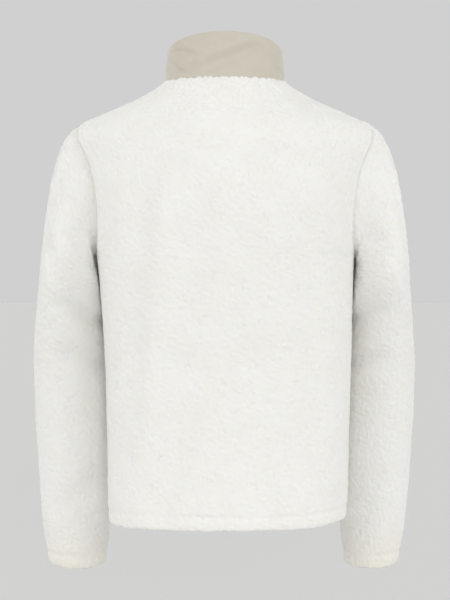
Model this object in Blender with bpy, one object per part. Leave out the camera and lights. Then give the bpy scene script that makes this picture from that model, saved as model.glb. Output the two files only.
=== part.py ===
"""Sherpa jacket with a stand collar and a front zip, in the round shape it has when worn.

The front faces -Y, +X is the wearer's left and +Z is up. The origin is the middle of the neck
opening, level with the tops of the shoulder seams. Every cloth piece is a wall between an outer
grid of points, the tips of its pile, and an inner grid, the back of its cloth. The grids of two
pieces that are sewn together share the points of their seam and stand SEAM_GAP apart there.
"""

import functools
import itertools
import math

import bpy
import numpy as np


def table(columns, rows):
    """Rows of numbers as one array for each named column."""
    return dict(zip(columns.split(), np.array(rows, float).T))


# ---------------------------------------------------------------- driving sizes, in metres
SHERPA_THICKNESS = 0.005        # knitted back and curly pile together
COLLAR_THICKNESS = 0.003        # two layers of woven shell and what is between them
SEAM_GAP = 0.0004

HEM_HEIGHT = -0.6735            # the jacket's lower edge
HEM_FOLD = 0.021                # depth of the turned hem, up to its stitch line
HEM_EXTRA = 0.0020              # how much the turned layer adds on the inside
CUFF_FOLD = 0.024
STITCH_DEPTH = 0.0016           # how deep a stitch line draws the pile in
STITCH_BREADTH = 0.0040         # how far beside its stitches the pile is drawn in
EDGE_ROLL = 0.0022              # how far a folded edge rolls inwards
EDGE_BREADTH = 0.0040
HEM_ROW_ABOVE_EDGE = 0.005      # rows of the cloth near a fold: above its edge, and on each
HEM_ROW_BESIDE_STITCH = 0.006   # side of its stitches
HEM_THIN_AT_ZIP = 0.030         # how far from the middle the turned hem starts to be thinner
HEM_THICK_AGAIN = 0.042

NECK_HALF_WIDTH = 0.091
NECK_BACK = 0.072
NECK_FRONT = 0.085
NECK_SEARCH_LOW = -0.09         # a height that is surely below the neckline

SHOULDER_HEIGHT = -0.064        # where the shoulder seam meets the sleeve
UNDERARM_HEIGHT = -0.268
ARMHOLE_BACK = 0.050            # how far the armhole reaches behind the side seam
ARMHOLE_FRONT = 0.060           # and in front of it
UNDERARM_CREASE = math.radians(88)

ZIP_OPENING = 0.0075            # from the centre line to each front edge
TAPE_EDGE = 0.0145              # from the centre line to the tape's outer edge
TAPE_THICKNESS = 0.0009
TAPE_LOW = 0.001                # the tape's lower end, above the hem's edge
TAPE_RISE = 0.95                # its upper end, as a share of the collar's height
TAPE_RISE_ROWS = 1.5            # rows of the collar over which the tape comes forward
CHAIN_END_STEP = 0.06           # length of the chain's sloping end, in rows of the cloth
CHAIN_HALF_GAP = 0.0002
CHAIN_WIDTH = 0.0031            # one half of the chain
CHAIN_HEIGHT = 0.0022           # how far it stands out of its tape
CLEARANCE = 0.0004              # between the zip's pieces, and from the tape to the cloth
BOX_HALF_WIDTH = 0.0044         # the retainer box, at the lower end
BOX_LOW = 0.0015                # its lower and upper ends, above the hem's edge
BOX_HIGH = 0.0115
BOX_FRONT = 0.0026              # depth of its front and back below the cloth's outer surface
BOX_BACK = 0.0070
SLIDER_RISE = 0.865             # the slider's middle, as a share of the collar's height
SLIDER_HALF_WIDTH = 0.0040
SLIDER_HALF_LENGTH = 0.0060
SLIDER_PLATE = 0.0016
POST_HALF_WIDTH = 0.0012
POST_LENGTH = 0.0024
ARCH_HALF_WIDTH = 0.0010
ARCH_METAL = 0.0010             # thickness of the arch's metal
ARCH_HOLLOW = 0.0026            # its hollow, as high as it is deep
HINGE_RISE = 0.0010             # the pull tab's axis above the slider's middle
TAB_HALF_WIDTH = 0.0035
TAB_LENGTH = 0.0260
TAB_THICKNESS = 0.0014
WINDOW_HALF_WIDTH = 0.0019      # the window in the tab that the arch reaches through
WINDOW_LENGTH = 0.0050

# Level sections of the body, from the hem to the neck. Above the underarm the sides of a section
# are cut away by the armhole.
BODY = table(
    "height half_width back front squareness sway",
    [
        (-0.680, 0.1800, 0.1215, 0.1250, 2.40, -0.0038),
        (-0.640, 0.1830, 0.1200, 0.1240, 2.40, -0.0042),
        (-0.560, 0.1845, 0.1180, 0.1230, 2.40, -0.0048),
        (-0.450, 0.1872, 0.1175, 0.1230, 2.40, -0.0050),
        (-0.330, 0.1925, 0.1230, 0.1270, 2.40, -0.0028),
        (-0.268, 0.1965, 0.1265, 0.1295, 2.38, -0.0008),
        (-0.210, 0.2040, 0.1270, 0.1285, 2.25, 0.0000),
        (-0.168, 0.2145, 0.1240, 0.1240, 2.10, 0.0000),
        (-0.130, 0.2290, 0.1185, 0.1170, 1.90, 0.0000),
        (-0.107, 0.2390, 0.1145, 0.1115, 1.79, 0.0000),
        (-0.091, 0.2440, 0.1110, 0.1055, 1.70, 0.0000),
        (-0.077, 0.2400, 0.1065, 0.0985, 1.62, 0.0000),
        (-0.064, 0.2235, 0.1020, 0.0915, 1.56, 0.0000),
        (-0.051, 0.1935, 0.0970, 0.0835, 1.53, 0.0000),
        (-0.038, 0.1640, 0.0920, 0.0735, 1.57, 0.0000),
        (-0.026, 0.1360, 0.0865, 0.0620, 1.68, 0.0000),
        (-0.014, 0.1140, 0.0800, 0.0480, 1.82, 0.0000),
        (0.000, 0.0910, 0.0720, 0.0330, 2.00, 0.0000),
    ],
)

# How far the hem's line is lifted, from the wearer's right side to the left
HEM_LINE = table(
    "across lift",
    [
        (-0.190, 0.0075),
        (-0.155, 0.0036),
        (-0.110, 0.0004),
        (0.060, 0.0000),
        (0.190, -0.0008),
    ],
)

HEM_LIFT_TOP = -0.45            # the lift of the hem fades out upwards, from full to this height
HEM_LIFT_SPAN = 0.20

# Sections of the sleeves below the underarm, square to the arm: distances from the jacket's
# middle to the inner and outer side of each, where the arm's middle is in front of the side
# seam, half its depth from front to back, and how far its inner side is swung to the front.
SLEEVE = table(
    "height left_inner left_outer right_inner right_outer middle half_depth swing",
    [
        (-0.7540, 0.1935, 0.2755, 0.1945, 0.2700, -0.1015, 0.0375, 0.00),
        (-0.7470, 0.1895, 0.2795, 0.1900, 0.2748, -0.1008, 0.0385, 0.00),
        (-0.7280, 0.1870, 0.2828, 0.1870, 0.2785, -0.0985, 0.0395, 0.00),
        (-0.7200, 0.1862, 0.2842, 0.1860, 0.2800, -0.0975, 0.0400, 0.00),
        (-0.6950, 0.1830, 0.2880, 0.1830, 0.2838, -0.0945, 0.0430, 0.02),
        (-0.6400, 0.1790, 0.2918, 0.1808, 0.2888, -0.0880, 0.0455, 0.06),
        (-0.5700, 0.1768, 0.2950, 0.1806, 0.2930, -0.0790, 0.0485, 0.12),
        (-0.5000, 0.1765, 0.2975, 0.1815, 0.2958, -0.0690, 0.0525, 0.18),
        (-0.4300, 0.1785, 0.2978, 0.1838, 0.2955, -0.0570, 0.0575, 0.24),
        (-0.3700, 0.1815, 0.2935, 0.1868, 0.2902, -0.0440, 0.0650, 0.28),
        (-0.3150, 0.1850, 0.2865, 0.1890, 0.2850, -0.0290, 0.0735, 0.30),
        (-0.2980, 0.1860, 0.2842, 0.1895, 0.2832, -0.0240, 0.0765, 0.30),
    ],
)
SLEEVE_CLEARANCE = 0.0028       # from the pile of a sleeve to the pile of the body beside it
CLEARANCE_SOFTNESS = 0.003      # how softly a sleeve is pushed off the body
CLEARANCE_START = 0.012         # the depth below the underarm at which the push is full
LEAN_STEP = 0.02                # height over which the lean of the arm is taken
TUBE_WAY_STEP = 0.004           # length of tube that gives the way in which the cap joins it
CAP_FULLNESS = 0.66             # how far the cap's cloth keeps its first way: at the shoulder,
CAP_FULLNESS_UNDER = 0.34       # and how much further under the arm
CAP_HANG = 1.00                 # the same for its last way, where it joins the tube
CAP_HANG_UNDER = 0.20
CAP_ROW_POWER = 1.15            # rows of the cap stand closer together near the armhole
CREASE_POWER = 1.25             # how late the crease under the arm grows, going round from the top
EASE_ROWS = 3                   # rows over which a sleeve's own folds start

# Soft folds, each a straight trough (or a ridge, where its depth is below zero) between two
# places, across and up, on the side of the jacket that its table is for.
BACK_FOLDS = table(
    "x_top top x_low low half_breadth depth",
    [
        (0.118, -0.175, 0.139, -0.400, 0.020, 0.0048),
        (0.092, -0.205, 0.112, -0.500, 0.017, -0.0030),
        (0.042, -0.225, 0.086, -0.620, 0.026, 0.0058),
        (0.012, -0.360, 0.026, -0.640, 0.022, -0.0028),
        (-0.058, -0.330, -0.082, -0.630, 0.026, 0.0026),
        (-0.112, -0.240, -0.124, -0.520, 0.020, 0.0024),
        (0.150, -0.560, 0.090, -0.655, 0.018, 0.0022),
    ],
)
FRONT_FOLDS = table(
    "x_top top x_low low half_breadth depth",
    [
        (0.110, -0.190, 0.132, -0.430, 0.020, 0.0044),
        (0.062, -0.300, 0.074, -0.620, 0.024, 0.0036),
        (-0.106, -0.200, -0.128, -0.400, 0.020, 0.0042),
        (-0.060, -0.260, -0.080, -0.600, 0.025, 0.0040),
        (-0.140, -0.480, -0.118, -0.640, 0.018, 0.0024),
        (0.142, -0.470, 0.120, -0.630, 0.018, 0.0022),
    ],
)
# Creases of a sleeve run across it, each from one turn round it to another, in degrees from the
# outside towards the back.
LEFT_SLEEVE_FOLDS = table(
    "turn_high high turn_low low half_breadth depth",
    [
        (100, -0.165, 152, -0.245, 0.011, 0.0070),
        (70, -0.255, 130, -0.345, 0.016, 0.0045),
        (110, -0.262, 185, -0.325, 0.013, -0.0045),
        (112, -0.345, 190, -0.372, 0.013, 0.0065),
        (105, -0.420, 190, -0.440, 0.015, 0.0060),
        (95, -0.640, 170, -0.600, 0.018, 0.0026),
        (250, -0.190, 205, -0.255, 0.012, 0.0060),
        (295, -0.330, 225, -0.400, 0.016, 0.0042),
        (300, -0.430, 230, -0.460, 0.015, 0.0046),
        (290, -0.560, 240, -0.600, 0.018, 0.0030),
    ],
)
RIGHT_SLEEVE_FOLDS = table(
    "turn_high high turn_low low half_breadth depth",
    [
        (88, -0.190, 150, -0.262, 0.011, 0.0060),
        (110, -0.285, 185, -0.345, 0.014, -0.0040),
        (118, -0.352, 190, -0.366, 0.013, 0.0058),
        (112, -0.425, 190, -0.436, 0.014, 0.0052),
        (60, -0.300, 120, -0.235, 0.018, 0.0030),
        (95, -0.610, 170, -0.640, 0.018, 0.0024),
        (252, -0.185, 205, -0.250, 0.012, 0.0060),
        (300, -0.345, 228, -0.405, 0.016, 0.0040),
        (296, -0.440, 232, -0.470, 0.015, 0.0048),
    ],
)
# Soft drag lines of the woven collar, by turn round the neck (0 left, 90 back) and by share of
# its height.
COLLAR_FOLDS = table(
    "turn_high high turn_low low half_breadth depth",
    [
        (62, 0.72, 112, 0.30, 0.009, 0.0013),
        (150, 0.80, 172, 0.55, 0.008, 0.0010),
        (18, 0.78, 44, 0.62, 0.007, 0.0009),
        (-62, 0.75, -30, 0.35, 0.009, 0.0012),
        (212, 0.35, 244, 0.72, 0.009, 0.0012),
    ],
)
COLLAR_TOP_HALF_WIDTH = 0.0875
COLLAR_TOP_BACK = 0.0670
COLLAR_TOP_FRONT = 0.0800
COLLAR_TOP_SIDE_HEIGHT = 0.0440     # height of its upper edge above the origin, at the side
COLLAR_TOP_BACK_HEIGHT = 0.0700
COLLAR_TOP_FRONT_HEIGHT = 0.0080
COLLAR_TOP_ROUNDNESS = 0.95
COLLAR_STEP = 0.02                  # share of its height over which its slope is taken
COLLAR_BULGE = 0.0015
COLLAR_EDGE_ROLL = 0.0008

# How finely the cloth is divided
SIDE_ROWS = 11                  # from the hem's stitch line to the underarm
ARMHOLE_ROWS = 12               # from the underarm to the shoulder, each of front and back
SHOULDER_ROWS = 5
BACK_COLUMNS = 12               # each half of the back
FRONT_COLUMNS = 10
CAP_ROWS = 9
SLEEVE_ROWS = 18
COLLAR_ROWS = 6
BACK_SHOULDER_ROW = -0.062      # heights, on the centre lines, of the row from the shoulder seam
FRONT_SHOULDER_ROW = -0.108
SLEEVE_FOLD_RADIUS = 0.055      # turns a sleeve's angles into lengths, for its folds
COLLAR_FOLD_RADIUS = 0.080
COLLAR_HEIGHT = 0.066


# ---------------------------------------------------------------- curves and tables
def smooth(at, places, values):
    """Values on a smooth curve through a table's column that never overshoots a row.

    Cubic steps, with each row's slope the harmonic mean of its neighbours' slopes.
    """
    steps = np.diff(places)
    slopes = np.diff(values) / steps
    before, after = slopes[:-1], slopes[1:]
    same_way = before * after > 0
    inner = np.where(same_way, 2 * before * after / np.where(same_way, before + after, 1), 0)
    tangents = np.concatenate([slopes[:1], inner, slopes[-1:]])
    i = np.clip(np.searchsorted(places, at) - 1, 0, len(steps) - 1)
    t = np.clip((at - places[i]) / steps[i], 0, 1)
    return (
        values[i] * (2 * t**3 - 3 * t**2 + 1)
        + tangents[i] * steps[i] * (t**3 - 2 * t**2 + t)
        + values[i + 1] * (3 * t**2 - 2 * t**3)
        + tangents[i + 1] * steps[i] * (t**3 - t**2)
    )


def column(rows, name, at):
    """A named column of a table, at places along the table's first column."""
    return smooth(np.asarray(at, float), next(iter(rows.values())), rows[name])


def ease_in_out(share):
    share = np.clip(share, 0, 1)
    return share * share * (3 - 2 * share)


def unit(vectors):
    return vectors / np.linalg.norm(vectors, axis=-1, keepdims=True)


def trough(across, up, folds, ends):
    """Depth of the folds at each place: a bell across each fold, which fades out at its ends."""
    high_x, high_z, low_x, low_z, half_breadth, depth = folds.values()
    total = np.zeros(np.shape(across))
    for x1, z1, x2, z2, breadth, amount in zip(high_x, high_z, low_x, low_z, half_breadth, depth):
        length = math.hypot(x2 - x1, z2 - z1)
        along = ((across - x1) * (x2 - x1) + (up - z1) * (z2 - z1)) / length
        aside = ((across - x1) * (z2 - z1) - (up - z1) * (x2 - x1)) / length
        beyond = np.maximum(np.maximum(-along, along - length), 0)
        fade = np.exp(-((beyond / (ends * breadth)) ** 2))
        total = total + amount * fade * np.exp(-((aside / breadth) ** 2))
    return total


def in_lengths(folds, radius, height=1.0):
    """A table of folds with its turns as lengths at a radius, and its heights times a height."""
    turns = {name: np.radians(folds[name]) * radius for name in ("turn_high", "turn_low")}
    heights = {name: folds[name] * height for name in ("high", "low")}
    return {**folds, **turns, **heights}


# ---------------------------------------------------------------- the body's surface
def body_plain(angle, height):
    """Point of the body's outline at an angle round it (0 left side, 90 degrees centre back).

    Each level section is a superellipse, deeper behind or in front by the table's columns.
    """
    angle, height = np.broadcast_arrays(np.asarray(angle, float), np.asarray(height, float))
    across, along = np.cos(angle), np.sin(angle)
    power = column(BODY, "squareness", height)
    reach = (np.abs(across) ** power + np.abs(along) ** power) ** (-1 / power)
    depth = np.where(along >= 0, column(BODY, "back", height), column(BODY, "front", height))
    x = column(BODY, "half_width", height) * reach * across
    x = x + column(BODY, "sway", height) * across**2
    lift = column(HEM_LINE, "lift", x) * ease_in_out((HEM_LIFT_TOP - height) / HEM_LIFT_SPAN)
    return np.stack([x, depth * reach * along, height + lift], axis=-1)


def body_angle_at_depth(depth, height):
    """Angle of the body's left side at which it is so far behind (or before) the side seam."""
    side = np.where(depth >= 0, column(BODY, "back", height), column(BODY, "front", height))
    power = column(BODY, "squareness", height)
    share = np.abs(depth) / side
    return np.arctan2(np.sign(depth) * share, (1 - share**power) ** (1 / power))


def body_angle_at_front_edge(height):
    """Angle of the body's front, on the left, at the edge of the zip's opening."""
    return -np.arccos(ZIP_OPENING / column(BODY, "half_width", height))


def slopes_normal(surface, first, second, step=2e-4):
    """Outward unit normal of a surface, from small steps along its two parameters."""
    along_first = surface(first + step, second) - surface(first - step, second)
    along_second = surface(first, second + step) - surface(first, second - step)
    return unit(np.cross(along_first, along_second))


def body(angle, height):
    """Point of the body's surface, with its folds, its stitched hem and its rolled edge."""
    plain = body_plain(angle, height)
    x, z = plain[..., 0], plain[..., 2]
    behind = np.sin(angle) >= 0
    dip = np.where(behind, trough(x, z, BACK_FOLDS, 2.2), trough(x, z, FRONT_FOLDS, 2.2))
    dip = dip * ease_in_out(np.abs(np.sin(angle)) * 4 - 0.6)
    above_hem = height - HEM_HEIGHT
    dip = dip + STITCH_DEPTH * np.exp(-(((above_hem - HEM_FOLD) / STITCH_BREADTH) ** 2))
    dip = dip + EDGE_ROLL * np.exp(-((above_hem / EDGE_BREADTH) ** 2))
    return plain - dip[..., None] * slopes_normal(body_plain, angle, height)


def body_normal(angle, height):
    return slopes_normal(body, angle, height)


# ---------------------------------------------------------------- the body's seams
def hem_rows(edge, fold):
    """Heights of the rows that shape a turned edge, from the edge to just past its stitches."""
    beside = HEM_ROW_BESIDE_STITCH
    return edge + np.array([0.0, HEM_ROW_ABOVE_EDGE, fold - beside, fold, fold + beside])


def row_heights(shoulder_row, neck_row):
    """Heights of the panel rows on a panel's centre edge, from the hem to the neck."""
    hem = hem_rows(HEM_HEIGHT, HEM_FOLD)
    side = np.linspace(hem[-1], UNDERARM_HEIGHT, SIDE_ROWS)[1:]
    armhole = np.linspace(UNDERARM_HEIGHT, shoulder_row, ARMHOLE_ROWS + 1)[1:]
    shoulder = np.linspace(shoulder_row, neck_row, SHOULDER_ROWS + 1)[1:]
    return np.concatenate([hem, side, armhole, shoulder])


def armhole_turns():
    """Turns along one half of the armhole, from the underarm (half a turn) to the shoulder (0)."""
    return np.linspace(math.pi, 0, ARMHOLE_ROWS + 1)


def armhole(turn, reach):
    """Angle and height of the armhole seam, a leaning oval on the body's left side."""
    middle = (SHOULDER_HEIGHT + UNDERARM_HEIGHT) / 2
    half = (SHOULDER_HEIGHT - UNDERARM_HEIGHT) / 2
    height = middle + half * np.cos(turn)
    return body_angle_at_depth(reach * np.abs(np.sin(turn)), height), height


def side_edge(reach):
    """Angles and heights of a panel's side edge: side seam, armhole, then shoulder seam."""
    hem = hem_rows(HEM_HEIGHT, HEM_FOLD)
    side = np.linspace(hem[-1], UNDERARM_HEIGHT, SIDE_ROWS)[1:]
    arm_angle, arm_height = armhole(armhole_turns()[1:], reach)
    shoulder = np.linspace(SHOULDER_HEIGHT, 0, SHOULDER_ROWS + 1)[1:]
    heights = np.concatenate([hem, side, arm_height, shoulder])
    angles = np.zeros(len(heights))
    first = len(hem) + len(side)
    angles[first:first + ARMHOLE_ROWS] = arm_angle
    return angles, heights


def neckline(turn):
    """Angle and height where the upright neck opening cuts the body, at turns round the neck.

    The plan of the opening is an oval. Its height is found by halving, between the neck and the
    chest, until the body's section passes through the oval's point.
    """
    turn = np.asarray(turn, float)
    x = NECK_HALF_WIDTH * np.cos(turn)
    y = np.where(np.sin(turn) >= 0, NECK_BACK, NECK_FRONT) * np.sin(turn)
    low, high = np.full(turn.shape, NECK_SEARCH_LOW), np.zeros(turn.shape)
    for _ in range(40):
        height = (low + high) / 2
        depth = np.where(y >= 0, column(BODY, "back", height), column(BODY, "front", height))
        width, power = column(BODY, "half_width", height), column(BODY, "squareness", height)
        outside = np.abs(x / width) ** power + np.abs(y / depth) ** power > 1
        high, low = np.where(outside, height, high), np.where(outside, low, height)
    return np.arctan2(y / depth, x / width), height


# ---------------------------------------------------------------- panels of the body
def filled(side, centre, low, high):
    """Grid between four edges, each a pair of angles and heights (a Coons patch).

    Rows run from the low edge to the high one, columns from the side edge to the centre edge.
    """
    grids = []
    for s, c, a, b in zip(side, centre, low, high):
        up = np.linspace(0, 1, len(s))[:, None]
        across = np.linspace(0, 1, len(a))[None, :]
        ruled = (1 - across) * s[:, None] + across * c[:, None]
        between = (1 - up) * a[None, :] + up * b[None, :]
        corners = (
            (1 - up) * ((1 - across) * a[0] + across * a[-1])
            + up * ((1 - across) * b[0] + across * b[-1])
        )
        grids.append(ruled + between - corners)
    return grids


def back_half():
    heights = row_heights(BACK_SHOULDER_ROW, 0.0)
    turns = np.linspace(0, math.pi / 2, BACK_COLUMNS + 1)
    centre = (np.full(len(heights), math.pi / 2), heights)
    return filled(
        side_edge(ARMHOLE_BACK), centre, (turns, np.full(len(turns), HEM_HEIGHT)), neckline(turns)
    )


def front_half():
    neck_end = -math.acos(ZIP_OPENING / NECK_HALF_WIDTH)
    neck = neckline(np.linspace(0, neck_end, FRONT_COLUMNS + 1))
    heights = row_heights(FRONT_SHOULDER_ROW, float(neck[1][-1]))
    low = np.linspace(0, float(body_angle_at_front_edge(HEM_HEIGHT)), FRONT_COLUMNS + 1)
    centre = (body_angle_at_front_edge(heights), heights)
    centre[0][-1] = neck[0][-1]
    hem = np.full(len(low), HEM_HEIGHT)
    return filled(side_edge(-ARMHOLE_FRONT), centre, (low, hem), neck)


def panel_walls(angles, heights):
    """Outer and inner points of a body panel. A turned hem is thicker, but not at the zip."""
    outer = body(angles, heights)
    in_hem = ease_in_out((HEM_HEIGHT + HEM_FOLD - heights) / STITCH_BREADTH + 0.5)
    off_middle = np.abs(outer[..., 0])
    off_zip = ease_in_out((off_middle - HEM_THIN_AT_ZIP) / (HEM_THICK_AGAIN - HEM_THIN_AT_ZIP))
    front = np.sin(angles) < 0
    extra = HEM_EXTRA * in_hem * np.where(front, off_zip, 1.0)
    inward = -body_normal(angles, heights) * (SHERPA_THICKNESS + extra)[..., None]
    return outer, outer + inward


def drawn_back(grid, edge):
    """The same grid with one edge pulled back by half a seam's gap: low, high, first or last."""
    grid = grid.copy()
    line, beside = {
        "low": (np.s_[0], np.s_[1]),
        "high": (np.s_[-1], np.s_[-2]),
        "first": (np.s_[:, 0], np.s_[:, 1]),
        "last": (np.s_[:, -1], np.s_[:, -2]),
    }[edge]
    grid[line] = grid[line] + unit(grid[beside] - grid[line]) * SEAM_GAP / 2
    return grid


ARMHOLE_FIRST = len(hem_rows(0, HEM_FOLD)) + SIDE_ROWS - 2      # the underarm's row
ARMHOLE_LAST = ARMHOLE_FIRST + ARMHOLE_ROWS                     # the shoulder's row


def mirrored(points):
    return points * np.array([-1.0, 1.0, 1.0])


def armhole_seam(side):
    """The seam's points on the left (1) or right (-1), and three ways from each of them.

    The points start at the shoulder and go down the back, under the arm and up the front. The
    ways are the body's cloth past the seam, the sleeve's cloth, and into the joint's face. The
    sleeve turns out from the body's cloth by a crease that grows from none at the shoulder to
    UNDERARM_CREASE, and the joint's face halves that angle.
    """
    turns = armhole_turns()
    down_back = armhole(turns[::-1], ARMHOLE_BACK)
    up_front = armhole(turns[1:-1], -ARMHOLE_FRONT)
    angles = np.concatenate([down_back[0], up_front[0]])
    heights = np.concatenate([down_back[1], up_front[1]])
    if side < 0:
        angles = math.pi - angles
    points, normals = body(angles, heights), body_normal(angles, heights)
    if side < 0:
        points, normals = mirrored(points), mirrored(normals)
    round_the_hole = np.linspace(0, 2 * math.pi, len(points), endpoint=False)
    crease = UNDERARM_CREASE * ((1 - np.cos(round_the_hole)) / 2) ** CREASE_POWER
    crease = crease[:, None]
    along = np.roll(points, -1, axis=0) - np.roll(points, 1, axis=0)
    past = unit(np.cross(along, normals))
    onward = past * np.cos(crease) + normals * np.sin(crease)
    sleeve_normals = normals * np.cos(crease) - past * np.sin(crease)
    into_face = -unit(normals + sleeve_normals) / np.cos(crease / 2)
    if side < 0:
        return tuple(mirrored(part) for part in (points, past, onward, into_face))
    return points, past, onward, into_face


def fit_to_armhole(outer, inner, edge, side, face):
    """Gives a panel's armhole edge the face of the joint with the sleeve, half a gap short."""
    points, past, _, into_face = armhole_seam(side)
    for row in range(ARMHOLE_FIRST, ARMHOLE_LAST + 1):
        step = ARMHOLE_LAST - row if face == "back" else row - ARMHOLE_LAST
        outer[row, edge] = points[step] - past[step] * SEAM_GAP / 2
        inner[row, edge] = outer[row, edge] + into_face[step] * SHERPA_THICKNESS


# ---------------------------------------------------------------- the collar's surface
def collar(turn, rise):
    """Point of the collar at a turn round the neck and a share of its height.

    It is ruled from the neckline to a leaning upper edge, with a slight bulge between and the
    drag lines of its table.
    """
    turn, rise = np.broadcast_arrays(np.asarray(turn, float), np.asarray(rise, float))
    base = body(*neckline(turn))
    across, along = np.cos(turn), np.sin(turn)
    behind = along >= 0
    end_height = np.where(behind, COLLAR_TOP_BACK_HEIGHT, COLLAR_TOP_FRONT_HEIGHT)
    share = np.abs(along) ** COLLAR_TOP_ROUNDNESS
    top = np.stack(
        [
            COLLAR_TOP_HALF_WIDTH * across,
            np.where(behind, COLLAR_TOP_BACK, COLLAR_TOP_FRONT) * along,
            COLLAR_TOP_SIDE_HEIGHT + (end_height - COLLAR_TOP_SIDE_HEIGHT) * share,
        ],
        axis=-1,
    )
    outward = np.stack([across, along, np.zeros_like(across)], axis=-1)
    arch = np.sin(math.pi * np.clip(rise, 0, 1))
    folds = in_lengths(COLLAR_FOLDS, COLLAR_FOLD_RADIUS, COLLAR_HEIGHT)
    dip = trough(turn * COLLAR_FOLD_RADIUS, rise * COLLAR_HEIGHT, folds, 1.5)
    swell = arch * (COLLAR_BULGE - dip)
    return base + (top - base) * rise[..., None] + outward * swell[..., None]


def collar_normal(turn, rise):
    """Outward normal of the collar, from steps that stay between its two edges."""
    step = 2e-4
    along_turn = collar(turn + step, rise) - collar(turn - step, rise)
    higher, lower = np.minimum(rise + COLLAR_STEP, 1), np.maximum(rise - COLLAR_STEP, 0)
    up = collar(turn, higher) - collar(turn, lower)
    return unit(np.cross(along_turn, up))


def neck_turns(side):
    """Turns of the neckline points of the left front (1), the back (0) or the right front (-1)."""
    neck_end = math.acos(ZIP_OPENING / NECK_HALF_WIDTH)
    left = np.linspace(-neck_end, 0, FRONT_COLUMNS + 1)
    if side == 0:
        return np.linspace(0, math.pi, 2 * BACK_COLUMNS + 1)
    return left if side > 0 else math.pi - left[::-1]


def neck_seam(turns):
    """Neckline points and the way into the face of the joint of body and collar."""
    points = body(*neckline(turns))
    below, above = body_normal(*neckline(turns)), collar_normal(turns, np.zeros(len(turns)))
    half_angle = np.arccos(np.clip((below * above).sum(-1), -1, 1)) / 2
    return points, -unit(below + above) / np.cos(half_angle)[:, None]


# ---------------------------------------------------------------- the sleeves' surface
def sleeve_ring(side, turn, height):
    """Point of a sleeve's plain tube, as for the left arm. Its sections lean with the arm.

    A section is an oval between the table's inner and outer sides, swung about the arm so that
    its inner side comes further to the front.
    """
    turn, height = np.broadcast_arrays(np.asarray(turn, float), np.asarray(height, float))
    name = "left" if side > 0 else "right"
    inner, outer = column(SLEEVE, name + "_inner", height), column(SLEEVE, name + "_outer", height)
    half_depth = column(SLEEVE, "half_depth", height)
    swung = column(SLEEVE, "swing", height) * half_depth
    half_width = np.sqrt(((outer - inner) / 2) ** 2 - swung**2)
    low = np.maximum(height - LEAN_STEP, SLEEVE["height"][0])
    high = np.minimum(height + LEAN_STEP, SLEEVE["height"][-1])
    lean = (column(SLEEVE, "middle", high) - column(SLEEVE, "middle", low)) / (high - low)
    upright = 1 / np.sqrt(1 + lean**2)
    behind = half_depth * np.sin(turn)
    x = (inner + outer) / 2 + half_width * np.cos(turn) + swung * np.sin(turn)
    y = column(SLEEVE, "middle", height) + behind * upright
    return np.stack([x, y, height - behind * upright * lean], axis=-1)


def sleeve_grid(side):
    """Outer points of a sleeve as for the left arm, from the armhole down to the cuff.

    Each lengthwise line leaves the armhole along the cloth's way there and joins the tube in
    the tube's own way: a cubic with those two directions at its ends.
    """
    points, past, onward, into_face = armhole_seam(side)
    if side < 0:
        points, onward, into_face = mirrored(points), mirrored(onward), mirrored(into_face)
    turns = np.linspace(0, 2 * math.pi, len(points), endpoint=False)
    top = SLEEVE["height"][-1]
    joined = sleeve_ring(side, turns, top)
    way = unit(sleeve_ring(side, turns, top - TUBE_WAY_STEP) - joined)
    distance = np.linalg.norm(joined - points, axis=-1, keepdims=True)
    underneath = ((1 - np.cos(turns)) / 2)[:, None]
    leave = distance * (CAP_FULLNESS + CAP_FULLNESS_UNDER * underneath)
    arrive = distance * (CAP_HANG + CAP_HANG_UNDER * underneath)
    rows = []
    for share in np.linspace(0, 1, CAP_ROWS + 1) ** CAP_ROW_POWER:
        rows.append(
            points * (2 * share**3 - 3 * share**2 + 1)
            + onward * leave * (share**3 - 2 * share**2 + share)
            + joined * (3 * share**2 - 2 * share**3)
            + way * arrive * (share**3 - share**2)
        )
    cuff = hem_rows(SLEEVE["height"][0], CUFF_FOLD)[::-1]
    tube = np.concatenate([np.linspace(top, cuff[0], SLEEVE_ROWS)[1:], cuff[1:]])
    rows.extend(sleeve_ring(side, turns, height) for height in tube)
    grid = creased(np.array(rows), turns, side, tube)
    grid = kept_off_body(grid, side)
    return grid, onward, into_face


def creased(plain, turns, side, tube):
    """The sleeve's rings with its creases, its stitched cuff and its rolled edge."""
    folds = in_lengths(LEFT_SLEEVE_FOLDS if side > 0 else RIGHT_SLEEVE_FOLDS, SLEEVE_FOLD_RADIUS)
    across = np.broadcast_to(turns * SLEEVE_FOLD_RADIUS, plain.shape[:2])
    dip = trough(across, plain[..., 2], folds, 1.6)
    dip = dip * ease_in_out(np.arange(len(plain))[:, None] / EASE_ROWS)
    above_edge = np.full(len(plain), math.inf)
    above_edge[-len(tube):] = tube - SLEEVE["height"][0]
    stitched = STITCH_DEPTH * np.exp(-(((above_edge - CUFF_FOLD) / STITCH_BREADTH) ** 2))
    rolled = EDGE_ROLL * np.exp(-((above_edge / EDGE_BREADTH) ** 2))
    dip = dip + (stitched + rolled)[:, None]
    return plain - dip[..., None] * ring_normals(plain)


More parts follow.
